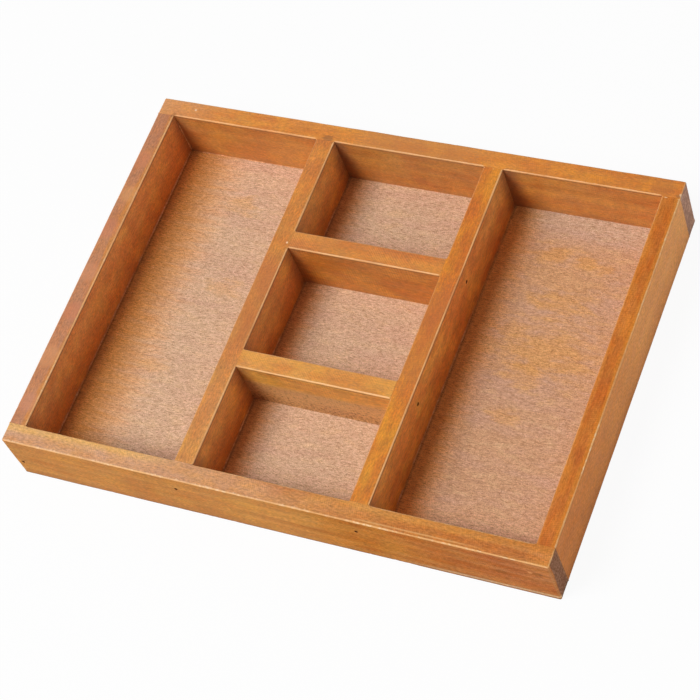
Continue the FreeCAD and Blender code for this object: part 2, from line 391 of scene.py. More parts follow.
def stainedWood(name, board):
    finish = woodFinish
    material = bpy.data.materials.new(name)
    material.use_nodes = True
    tree = material.node_tree
    surface = tree.nodes["Principled BSDF"]
    coordinates = tree.nodes.new("ShaderNodeTexCoord")
    turn = (0, 0, 0) if board["grain"] == "x" else (0, 0, -math.pi / 2)
    turned = addNode(tree, "ShaderNodeMapping", None, {"Vector": coordinates.outputs["Object"], "Rotation": turn})
    place = turned.outputs[0]
    facing = coordinates.outputs["Normal"]
    seed = board["seed"]

    # Low contrast figure: soft rings, streaks along the grain and broad blotches of stain
    grain = useGroup(tree, planedGrain, {
        "Vector": place, "Seed": seed, "Pith Y": board["pith"][0], "Pith Z": board["pith"][1],
        "Slope": board["slope"], "Ring Spacing": board["rings"],
    })
    blotch = noise(tree, vectorMaths(tree, "MULTIPLY", place, (14.0, 44.0, 44.0)), 1.0, 2.0, 0.5)
    depth = maths(tree, "ADD", around(tree, grain["Streaks"], 1.5), around(tree, blotch, 1.5))
    depth = maths(tree, "ADD", depth, around(tree, grain["Rings"], board["ringDepth"]))
    depth = maths(tree, "ADD", depth, around(tree, grain["Fibres"], 0.5))
    depth = maths(tree, "ADD", depth, 0.5)
    depth = addNode(tree, "ShaderNodeClamp", None, {0: depth}).outputs[0]
    colour = mixColours(tree, depth, rgb(finish["pale"]), rgb(finish["deep"]))

    goldMask = useGroup(tree, stainPatches, {
        "Vector": place, "Stretch": (0.8, 2.4, 2.4), "Scale": 40.0, "Amount": 0.5, "Softness": 0.12, "Seed": seed + 1.9,
    })["Mask"]
    colour = mixColours(tree, maths(tree, "MULTIPLY", goldMask, board["gold"]), colour, rgb(finish["golden"]))
    redMask = useGroup(tree, stainPatches, {
        "Vector": place, "Stretch": (1.6, 2.2, 1.6), "Scale": 34.0, "Amount": board["redAmount"],
        "Softness": 0.14, "Seed": seed + 7.7,
    })["Mask"]
    colour = mixColours(tree, maths(tree, "MULTIPLY", redMask, board["red"]), colour, rgb(finish["red"]))
    mottle = noise(tree, vectorMaths(tree, "MULTIPLY", place, (95.0, 150.0, 150.0)), 1.0, 3.0, 0.6)
    colour = scaled(tree, colour, maths(tree, "ADD", around(tree, mottle, 0.75 * board["mottle"]), 1.0))
    colour = mixColours(tree, maths(tree, "MULTIPLY", grain["Pores"], 0.3), colour, rgb(finish["pore"]))

    # Painted sheen: the tops go paler and pinker towards one end
    apart = addNode(tree, "ShaderNodeSeparateXYZ", None, {0: place})
    up = addNode(tree, "ShaderNodeSeparateXYZ", None, {0: facing}).outputs[2]
    onTop = smoothStep(tree, up, 0.6, 0.95, 0.15, 1.0)
    run = smoothStep(tree, apart.outputs[0], board["from"] * mm, board["to"] * mm)
    sheenAmount = maths(tree, "MULTIPLY_ADD", run, board["sheenEnd"] - board["sheenStart"], board["sheenStart"])
    sheenMask = useGroup(tree, stainPatches, {
        "Vector": place, "Stretch": (1.0, 2.0, 2.0), "Scale": 36.0, "Amount": 0.62, "Softness": 0.2, "Seed": seed + 3.1,
    })["Mask"]
    sheenMask = maths(tree, "MULTIPLY", maths(tree, "MULTIPLY_ADD", sheenMask, 0.5, 0.5), onTop)
    colour = mixColours(tree, maths(tree, "MULTIPLY", sheenAmount, sheenMask), colour, rgb(finish["pinkSheen"]))
    for start, end, runFrom, runTo, strength, tint in board.get("strips", []):
        strip = maths(tree, "MULTIPLY_ADD", around(tree, blotch, 1.0), 0.008, apart.outputs[1])
        strip = smoothStep(tree, strip, start * mm, end * mm, 0.0, strength)
        strip = maths(tree, "MULTIPLY", strip, smoothStep(tree, apart.outputs[0], runFrom * mm, runTo * mm))
        colour = mixColours(tree, maths(tree, "MULTIPLY", strip, onTop), colour, rgb(finish[tint]))
    # Tops and sides take their own tones; these hold painted light and shade by face, and the paler sides of the matt
    # boards hold a painted reflection
    toneAndLight = mixColours(tree, smoothStep(tree, up, 0.3, 0.9), rgb(board["sideToneAndLight"]), rgb(board["topToneAndLight"]))
    colour = mixColours(tree, 1.0, colour, toneAndLight, "MULTIPLY")
    aside = maths(tree, "SUBTRACT", 1.0, smoothStep(tree, up, 0.3, 0.9))
    if "calm" in board:
        even = mixColours(tree, 1.0, rgb(finish["even"]), rgb(board["sideToneAndLight"]), "MULTIPLY")
        colour = mixColours(tree, maths(tree, "MULTIPLY", aside, board["calm"]), colour, even)
    if "topRun" in board:
        runFrom, runTo, startTone, endTone = board["topRun"]
        topRun = smoothStep(tree, apart.outputs[0], runFrom * mm, runTo * mm)
        runTone = mixColours(tree, topRun, rgb(startTone), rgb(endTone))
        colour = mixColours(tree, aside, mixColours(tree, 1.0, colour, runTone, "MULTIPLY"), colour)
    if "sideRun" in board:
        runFrom, runTo, startTone, endTone = board["sideRun"]
        sideRun = smoothStep(tree, apart.outputs[0], runFrom * mm, runTo * mm)
        sideToneAndLight = mixColours(tree, sideRun, rgb(startTone), rgb(endTone))
        colour = mixColours(tree, aside, colour, mixColours(tree, 1.0, colour, sideToneAndLight, "MULTIPLY"))
    # Painted shade: a thin dark line on the sides just below the top arris
    arrisShade = smoothStep(tree, apart.outputs[2], 0.0379, 0.0385)
    arrisShade = maths(tree, "MULTIPLY", arrisShade, smoothStep(tree, apart.outputs[2], 0.0395, 0.0391))
    arrisShade = maths(tree, "MULTIPLY", arrisShade, aside)
    colour = mixColours(tree, maths(tree, "MULTIPLY", arrisShade, board["shadeUnderArris"]), colour, rgb(finish["grimeAndShade"]))
    # Painted shade in the inner corners, on the faces that look inward, fading over 12 mm from each corner
    across = addNode(tree, "ShaderNodeSeparateXYZ", None, {0: facing}).outputs[1 if board["grain"] == "x" else 0]
    inward = maths(tree, "MULTIPLY", across, board.get("inside", 0))
    cornerShadeSide = maths(tree, "MULTIPLY", smoothStep(tree, inward, -0.7, -0.2), aside)
    for corner in board.get("corners", []):
        away = maths(tree, "ABSOLUTE", maths(tree, "SUBTRACT", apart.outputs[0], corner * mm))
        away = maths(tree, "MULTIPLY_ADD", around(tree, blotch, 1.0), 0.006, away)
        near = maths(tree, "MULTIPLY", smoothStep(tree, away, 0.012, 0.0, 0.0, 0.6), cornerShadeSide)
        colour = mixColours(tree, near, colour, rgb(finish["grimeAndShade"]))
    # Along the foot of the front face: a pale line, the painted highlight of the lower arris and partly bare wood, and
    # a painted contact shadow along the very bottom
    if "footLines" in board:
        runFrom, runTo, paleStrength = board["footLines"]
        lineRun = smoothStep(tree, apart.outputs[0], runFrom * mm, runTo * mm, 0.0, paleStrength)
        litWornLine = maths(tree, "MULTIPLY", smoothStep(tree, apart.outputs[2], 0.0018, 0.0026), lineRun)
        litWornLine = maths(tree, "MULTIPLY", litWornLine, smoothStep(tree, apart.outputs[2], 0.0048, 0.0036))
        colour = mixColours(tree, maths(tree, "MULTIPLY", litWornLine, aside), colour, rgb(finish["bare"]))
        footShadowLine = smoothStep(tree, apart.outputs[2], 0.0022, 0.0012, 0.0, 0.75)
        colour = mixColours(tree, footShadowLine, colour, rgb(finish["grimeAndShade"]))
    # Painted shade: the sides darken towards the floor
    footShadeMask = maths(tree, "MULTIPLY_ADD", around(tree, blotch, 1.0), 0.004, apart.outputs[2])
    footShadeMask = maths(tree, "MULTIPLY", smoothStep(tree, footShadeMask, 0.010, 0.0025, 0.0, board["footShade"]), aside)
    colour = mixColours(tree, footShadeMask, colour, rgb(finish["grimeAndShade"]))
    ripple = useGroup(tree, planerRipple, {
        "Vector": place, "Direction": board["ripple"], "Pitch": 0.0012, "Seed": seed,
    })
    rippleTone = maths(tree, "MULTIPLY_ADD", around(tree, ripple["Height"], board["rippleDepth"]), 0.14, 1.0)
    colour = scaled(tree, colour, rippleTone)
    speckle = useGroup(tree, fineSpeckle, {"Vector": place, "Seed": seed})
    colour = mixColours(tree, maths(tree, "MULTIPLY", speckle["Warm"], 0.30), colour, rgb(finish["fleck"]), "SOFT_LIGHT")
    colour = scaled(tree, colour, maths(tree, "ADD", around(tree, speckle["Grit"], board["grit"]), 1.0))

    # A rough sawn band that took little stain
    if "roughBand" in board:
        bandTop = maths(tree, "MULTIPLY_ADD", around(tree, grain["Streaks"], 1.0), 0.016, apart.outputs[2])
        facesFront = addNode(tree, "ShaderNodeSeparateXYZ", None, {0: facing}).outputs[1]
        inBand = smoothStep(tree, bandTop, board["roughBand"] * mm + 0.002, board["roughBand"] * mm - 0.003)
        inBand = maths(tree, "MULTIPLY", inBand, smoothStep(tree, facesFront, -0.5, -0.8))
        torn = noise(tree, vectorMaths(tree, "MULTIPLY", place, (420.0, 1100.0, 850.0)), 1.0, 4.0, 0.8)
        nearFoot = smoothStep(tree, apart.outputs[2], 0.016, 0.003)
        pits = smoothStep(tree, maths(tree, "MULTIPLY_ADD", nearFoot, -0.07, torn), 0.50, 0.36)
        roughColour = mixColours(tree, pits, rgb(finish["rough"]), rgb(finish["roughDark"]))
        colour = mixColours(tree, maths(tree, "MULTIPLY", inBand, 0.72), colour, roughColour)

    # Dents, dabs and knots at their own places
    whole = coordinates.outputs["Object"]
    for spot in board.get("marks", []):
        apartFrom = vectorMaths(tree, "SUBTRACT", whole, Vector(spot["at"]) * mm)
        away = vectorMaths(tree, "LENGTH", vectorMaths(tree, "MULTIPLY", apartFrom, spot["squash"]))
        away = maths(tree, "MULTIPLY_ADD", around(tree, speckle["Grit"], 1.0), spot["radius"] * mm * 0.9, away)
        mark = smoothStep(tree, away, spot["radius"] * mm, spot["radius"] * mm * 0.55, 0.0, spot["strength"])
        colour = mixColours(tree, mark, colour, rgb(spot["colour"]))

    facingAlong = addNode(tree, "ShaderNodeSeparateXYZ", None, {0: vectorMaths(tree, "ABSOLUTE", facing)})
    endFace = smoothStep(tree, facingAlong.outputs[0 if board["grain"] == "x" else 1], 0.80, 0.95)
    if "endInset" in board:
        start, end = board["endInset"]
        inset = maths(tree, "MULTIPLY_ADD", around(tree, blotch, 1.0), 0.004, apart.outputs[1])
        endFace = maths(tree, "MULTIPLY", endFace, smoothStep(tree, inset, start * mm, end * mm))
    endCloud = useGroup(tree, stainPatches, {
        "Vector": place, "Stretch": (0.3, 1.0, 1.0), "Scale": board.get("endScale", 800.0), "Amount": 0.45, "Softness": 0.07,
        "Seed": seed,
    })["Mask"]
    endColour = mixColours(tree, endCloud, rgb(finish["endGrain"]), rgb(finish["endGrainPale"]))
    endColour = mixColours(tree, 1.0, endColour, rgb(board.get("endTone", (1.0, 1.0, 1.0))), "MULTIPLY")
    colour = mixColours(tree, maths(tree, "MULTIPLY", endFace, 0.92), colour, endColour)

    # Arrises go paler with wear and with a painted highlight, and are rubbed bare in spots
    wear = useGroup(tree, arrisWearAndHighlight, {"Vector": place, "Normal": facing, "Seed": seed})
    colour = mixColours(tree, maths(tree, "MULTIPLY", wear["Mask"], board["wear"]), colour, rgb(finish["worn"]))
    colour = mixColours(tree, maths(tree, "MULTIPLY", wear["Bare"], board["bare"]), colour, rgb(finish["bare"]))
    if "tornArris" in board:
        colour = tornArris(tree, board["tornArris"], apart.outputs, onTop, colour)
    tree.links.new(colour, surface.inputs["Base Color"])

    shine = maths(tree, "MULTIPLY_ADD", grain["Streaks"], 0.16, 0.34)
    shine = maths(tree, "MULTIPLY_ADD", endFace, 0.3, shine)
    tree.links.new(maths(tree, "MULTIPLY_ADD", wear["Bare"], 0.2, shine), surface.inputs["Roughness"])
    surface.inputs["Specular IOR Level"].default_value = board["gloss"]

    height = maths(tree, "MULTIPLY_ADD", grain["Fibres"], 0.45, maths(tree, "MULTIPLY", grain["Streaks"], 0.6))
    height = maths(tree, "MULTIPLY_ADD", grain["Pores"], -0.5, height)
    height = maths(tree, "MULTIPLY_ADD", ripple["Height"], board["rippleDepth"], height)
    height = maths(tree, "MULTIPLY_ADD", speckle["Grit"], 0.8, height)
    bump = addNode(tree, "ShaderNodeBump", None, {"Height": height, "Strength": 0.45, "Distance": 0.00025})
    tree.links.new(bump.outputs[0], surface.inputs["Normal"])
    return material


plywoodFinish = {
    "face": (0.655, 0.425, 0.27),
    "brown": (0.588, 0.303, 0.155),
    # dark furrows, and the painted shade beside the walls
    "dark": (0.36, 0.18, 0.09),
    "light": (0.86, 0.70, 0.55),
    "orange": (0.72, 0.33, 0.07),
    "stainAndShade": (0.76, 0.325, 0.08),
    "straw": (0.76, 0.50, 0.27),
    # grime specks, and the painted shadow line at the foot of each wall
    "grimeAndShade": (0.15, 0.06, 0.03),
    "furrow": 1.5,
    "furrowTint": (0.82, 1.0, 1.2),  # furrows are browner than the ridges
    # painted shade beside each wall: strength, then reach
    "combedShade": (0.30, 0.35, 0.15),
    "combedShadeReach": (0.009, 0.009, 0.009),
    "paintedShadeBeside": ((0.040, 0.021, 0.18), (0.020, 0.010, 0.0), (0.050, 0.034, 0.05)),  # painted shade beside each wall: from, to, share
    # painted light nearer each wall: from, to, share
    "paintedLightBeside": ((0.019, 0.002, 0.30), (0.010, 0.004, 0.0), (0.025, 0.016, 0.13)),
    "paintedLightBehind": [  # painted light, lifting the shadow on the floor behind the rear face of a wall: that face, X from and to, and how much lighter the floor is
        (-113.0, 61.0, 160.0, 0.20), (-113.0, -49.0, 50.0, 0.12), (-35.5, -49.0, 50.0, 0.18),
        (47.5, -49.0, 50.0, 0.16),
    ],
    "rearTint": (0.95, 1.12, 1.34),
    "cellTone": 0.94,
    "grit": 1.6,
    "orangePatches": [  # X, Y, radius and strength
        (112.0, 22.0, 34.0, 0.25), (106.0, 70.0, 26.0, 0.2),
        (114.0, 18.0, 17.0, 0.35), (104.0, 2.0, 10.0, 0.25), (110.0, 52.0, 13.0, 0.3), (96.0, 84.0, 8.0, 0.4),
        (116.0, 83.0, 6.0, 0.4), (130.0, 80.0, 5.0, 0.35), (102.0, -26.0, 7.0, 0.35), (86.0, 30.0, 8.0, 0.25),
        (-31.0, 63.0, 6.0, 0.35), (-110.0, 80.0, 9.0, 0.3), (-96.0, 20.0, 8.0, 0.25), (-120.0, -40.0, 8.0, 0.25),
    ],
    "mauve": (0.60, 0.345, 0.24),
    "wallX": (-159.0, -48.0, 61.5),  # stain has run out from under these walls, and painted warm shade lies beside them
    "reach": (50.0, 21.0, 25.0),
    "strength": (1.0, 0.8, 0.95),
}


def plywood(name, finish):
    material = bpy.data.materials.new(name)
    material.use_nodes = True
    tree = material.node_tree
    surface = tree.nodes["Principled BSDF"]
    coordinates = tree.nodes.new("ShaderNodeTexCoord")
    place = coordinates.outputs["Object"]
    facing = addNode(tree, "ShaderNodeSeparateXYZ", None, {0: coordinates.outputs["Normal"]}).outputs[2]
    apart = addNode(tree, "ShaderNodeSeparateXYZ", None, {0: place})
    # The veneer is furrowed: fine wavy dashes run along X and curl a little
    sway = maths(tree, "MULTIPLY", around(tree, noise(tree, place, 60.0, 2.0), 1.0), 0.0030)
    curl = maths(tree, "MULTIPLY", around(tree, noise(tree, place, 240.0, 1.0), 1.0), 0.0008)
    shift = addNode(tree, "ShaderNodeCombineXYZ", None, {1: maths(tree, "ADD", sway, curl)}).outputs[0]
    swayed = vectorMaths(tree, "ADD", place, shift)
    bands = noise(tree, vectorMaths(tree, "MULTIPLY", swayed, (14.0, 90.0, 90.0)), 1.0, 4.0, 0.65)
    dashes = noise(tree, vectorMaths(tree, "MULTIPLY", swayed, (340.0, 1500.0, 900.0)), 1.0, 2.0, 0.7)
    hue = noise(tree, vectorMaths(tree, "MULTIPLY", swayed, (70.0, 210.0, 1.0)), 1.0, 3.0, 0.6)
    grit = noise(tree, place, 1500.0, 2.0, 0.7)
    rightward = smoothStep(tree, apart.outputs[0], 0.03, 0.075)
    colour = mixColours(tree, maths(tree, "MULTIPLY", rightward, 0.75), rgb(finish["face"]), rgb(finish["brown"]))
    centre = maths(tree, "ABSOLUTE", apart.outputs[0])
    colour = scaled(tree, colour, smoothStep(tree, centre, 0.052, 0.049, 1.0, finish["cellTone"]))
    colour = mixColours(tree, smoothStep(tree, bands, 0.42, 0.7, 0.0, 0.55), colour, rgb(finish["mauve"]))
    colour = mixColours(tree, smoothStep(tree, hue, 0.5, 0.7, 0.0, 0.28), colour, rgb(finish["mauve"]))
    colour = mixColours(tree, smoothStep(tree, hue, 0.5, 0.3, 0.0, 0.35), colour, rgb(finish["straw"]))
    for x, y, radius, strength in finish["orangePatches"]:
        apartFrom = vectorMaths(tree, "SUBTRACT", place, Vector((x, y, 2.5)) * mm)
        away = vectorMaths(tree, "LENGTH", vectorMaths(tree, "MULTIPLY", apartFrom, (0.55, 1.0, 1.0)))
        away = maths(tree, "MULTIPLY_ADD", around(tree, hue, 1.0), radius * mm * 2.2, away)
        patch = smoothStep(tree, away, radius * mm, radius * mm * 0.3, 0.0, strength)
        colour = mixColours(tree, patch, colour, rgb(finish["orange"]))
    ragged = noise(tree, vectorMaths(tree, "MULTIPLY", place, (35.0, 260.0, 1.0)), 1.0, 4.0, 0.65)
    # Orange beside the left hand walls: stain run out from under them, and painted warm shade
    for wallX, reach, strength in zip(finish["wallX"], finish["reach"], finish["strength"]):
        away = maths(tree, "SUBTRACT", apart.outputs[0], wallX * mm)
        uneven = maths(tree, "MULTIPLY_ADD", around(tree, ragged, 1.0), reach * 0.7 * mm, away)
        near = smoothStep(tree, uneven, reach * 0.1 * mm, reach * mm, strength, 0.0)
        near = maths(tree, "MULTIPLY", near, maths(tree, "GREATER_THAN", away, -0.002))
        colour = mixColours(tree, near, colour, rgb(finish["stainAndShade"]))
    beside = zip(finish["wallX"], finish["combedShade"], finish["combedShadeReach"], finish["paintedShadeBeside"], finish["paintedLightBeside"])
    level = 1.0
    for wallX, shadeStrength, reach, paintedShadeBeside, paintedLightBeside in beside:
        away = maths(tree, "SUBTRACT", apart.outputs[0], wallX * mm)
        besideWall = maths(tree, "GREATER_THAN", away, -0.002)
        # Painted light close to each wall, painted shade further out
        change = smoothStep(tree, away, paintedLightBeside[0], paintedLightBeside[1], 0.0, paintedLightBeside[2])
        change = maths(tree, "SUBTRACT", change, smoothStep(tree, away, paintedShadeBeside[0], paintedShadeBeside[1], 0.0, paintedShadeBeside[2]))
        level = maths(tree, "MULTIPLY_ADD", change, besideWall, level)
        # Painted shade: a ragged dark band on the floor beside each wall
        combedShade = maths(tree, "MULTIPLY_ADD", around(tree, ragged, 1.0), 0.022, away)
        shade = maths(tree, "MULTIPLY", smoothStep(tree, combedShade, reach, 0.0, 0.0, shadeStrength), besideWall)
        colour = mixColours(tree, shade, colour, rgb(finish["dark"]))
        # Painted shadow: a thin dark line in the gap at the foot of each wall
        away = maths(tree, "MULTIPLY_ADD", around(tree, ragged, 1.0), 0.0012, away)
        line = smoothStep(tree, away, 0.0017, 0.0009, 0.0, 0.3)
        line = maths(tree, "MULTIPLY", line, besideWall)
        colour = mixColours(tree, line, colour, rgb(finish["grimeAndShade"]))
    # Painted light: the floor behind each wall is lightened where its shadow falls
    for wallY, fromX, toX, lightShare in finish["paintedLightBehind"]:
        away = maths(tree, "SUBTRACT", apart.outputs[1], wallY * mm)
        behindWall = maths(tree, "GREATER_THAN", away, -0.002)
        between = maths(tree, "GREATER_THAN", apart.outputs[0], fromX * mm)
        between = maths(tree, "MULTIPLY", between, maths(tree, "LESS_THAN", apart.outputs[0], toX * mm))
        behindWall = maths(tree, "MULTIPLY", behindWall, between)
        change = smoothStep(tree, away, 0.031, 0.021, 0.0, lightShare)
        level = maths(tree, "MULTIPLY_ADD", change, behindWall, level)
    colour = scaled(tree, colour, level)
    rearRight = maths(tree, "MULTIPLY", smoothStep(tree, apart.outputs[1], 0.088, 0.108), rightward)
    rearTint = mixColours(tree, rearRight, (1.0, 1.0, 1.0, 1.0), rgb(finish["rearTint"]))
    colour = mixColours(tree, 1.0, colour, rearTint, "MULTIPLY")
    # Stain and the shade of the walls lie on the upper face only; the underside is bare
    bare = mixColours(tree, smoothStep(tree, bands, 0.4, 0.65), rgb(finish["face"]), rgb(finish["straw"]))
    colour = mixColours(tree, smoothStep(tree, facing, -0.5, 0.5), bare, colour)
    furrow = maths(tree, "ADD", around(tree, dashes, finish["furrow"]), around(tree, grit, finish["grit"]))
    relief = vectorMaths(tree, "ADD", scaled(tree, finish["furrowTint"], furrow), (1.0, 1.0, 1.0))
    colour = vectorMaths(tree, "MULTIPLY", colour, relief)
    colour = mixColours(tree, smoothStep(tree, dashes, 0.40, 0.26, 0.0, 0.3), colour, rgb(finish["dark"]))
    colour = mixColours(tree, smoothStep(tree, grit, 0.66, 0.76, 0.0, 0.5), colour, rgb(finish["light"]))
    pepper = noise(tree, vectorMaths(tree, "MULTIPLY", place, (420.0, 620.0, 1.0)), 1.0, 1.0)
    colour = mixColours(tree, smoothStep(tree, pepper, 0.735, 0.79, 0.0, 0.6), colour, rgb(finish["grimeAndShade"]))
    tree.links.new(colour, surface.inputs["Base Color"])
    tree.links.new(maths(tree, "MULTIPLY_ADD", dashes, -0.2, 0.82), surface.inputs["Roughness"])
    surface.inputs["Specular IOR Level"].default_value = 0.3
    height = maths(tree, "MULTIPLY_ADD", grit, 0.5, dashes)
    bump = addNode(tree, "ShaderNodeBump", None, {"Height": height, "Strength": 0.6, "Distance": 0.0003})
    tree.links.new(bump.outputs[0], surface.inputs["Normal"])
    return material


steelFinish = {"colour": (0.07, 0.05, 0.04), "rust": (0.09, 0.035, 0.015)}


def dulledSteel(name, finish):
    material = bpy.data.materials.new(name)
    material.use_nodes = True
    tree = material.node_tree
    surface = tree.nodes["Principled BSDF"]
    place = tree.nodes.new("ShaderNodeTexCoord").outputs["Object"]
    rust = useGroup(tree, stainPatches, {
        "Vector": place, "Scale": 900.0, "Amount": 0.5, "Softness": 0.15, "Seed": 2.0,
    })["Mask"]
    tree.links.new(mixColours(tree, rust, rgb(finish["colour"]), rgb(finish["rust"])), surface.inputs["Base Color"])
    tree.links.new(maths(tree, "MULTIPLY_ADD", rust, -0.5, 0.6), surface.inputs["Metallic"])
    tree.links.new(maths(tree, "MULTIPLY_ADD", rust, 0.25, 0.6), surface.inputs["Roughness"])
    bump = addNode(tree, "ShaderNodeBump", None, {"Height": rust, "Strength": 0.3, "Distance": 0.00005})
    tree.links.new(bump.outputs[0], surface.inputs["Normal"])
    return material


holeFinish = {"wall": (0.16, 0.045, 0.012), "grimeAndShade": (0.05, 0.02, 0.01)}


def holeWall(name, finish):
    material = bpy.data.materials.new(name)
    material.use_nodes = True
    tree = material.node_tree
    surface = tree.nodes["Principled BSDF"]
    place = tree.nodes.new("ShaderNodeTexCoord").outputs["Object"]
    grimeAndShade = useGroup(tree, stainPatches, {
        "Vector": place, "Scale": 1400.0, "Amount": 0.5, "Softness": 0.15, "Seed": 5.0,
    })["Mask"]
    tree.links.new(mixColours(tree, grimeAndShade, rgb(finish["wall"]), rgb(finish["grimeAndShade"])), surface.inputs["Base Color"])
    tree.links.new(maths(tree, "MULTIPLY_ADD", grimeAndShade, 0.1, 0.85), surface.inputs["Roughness"])
    surface.inputs["Specular IOR Level"].default_value = 0.1
    bump = addNode(tree, "ShaderNodeBump", None, {"Height": grimeAndShade, "Strength": 0.3, "Distance": 0.0001})
    tree.links.new(bump.outputs[0], surface.inputs["Normal"])
    return material


# Timbers: one tree of nodes makes every planed, rounded and worn board

def paleDent(x, y, z, radius):
    return {"at": (x, y, z), "radius": radius, "squash": (1, 1, 1), "strength": 0.85, "colour": (0.92, 0.66, 0.42)}


def fillerDab(x, y, z, radius):
    return {"at": (x, y, z), "radius": radius, "squash": (0.8, 1, 1), "strength": 0.85, "colour": (0.80, 0.36, 0.13)}


def darkKnot(x, y, z, radius, strength=0.4):
    return {"at": (x, y, z), "radius": radius, "squash": (0.7, 1, 1), "strength": strength, "colour": (0.25, 0.10, 0.03)}


def softPatch(x, y, z, radius, colour):
    return {"at": (x, y, z), "radius": radius, "squash": (1, 1, 12), "strength": 0.45, "colour": colour}


def redBlotch(x, y, z, radius, strength=0.4):
    return {"at": (x, y, z), "radius": radius, "squash": (1, 1, 12), "strength": strength, "colour": (0.46, 0.14, 0.035)}


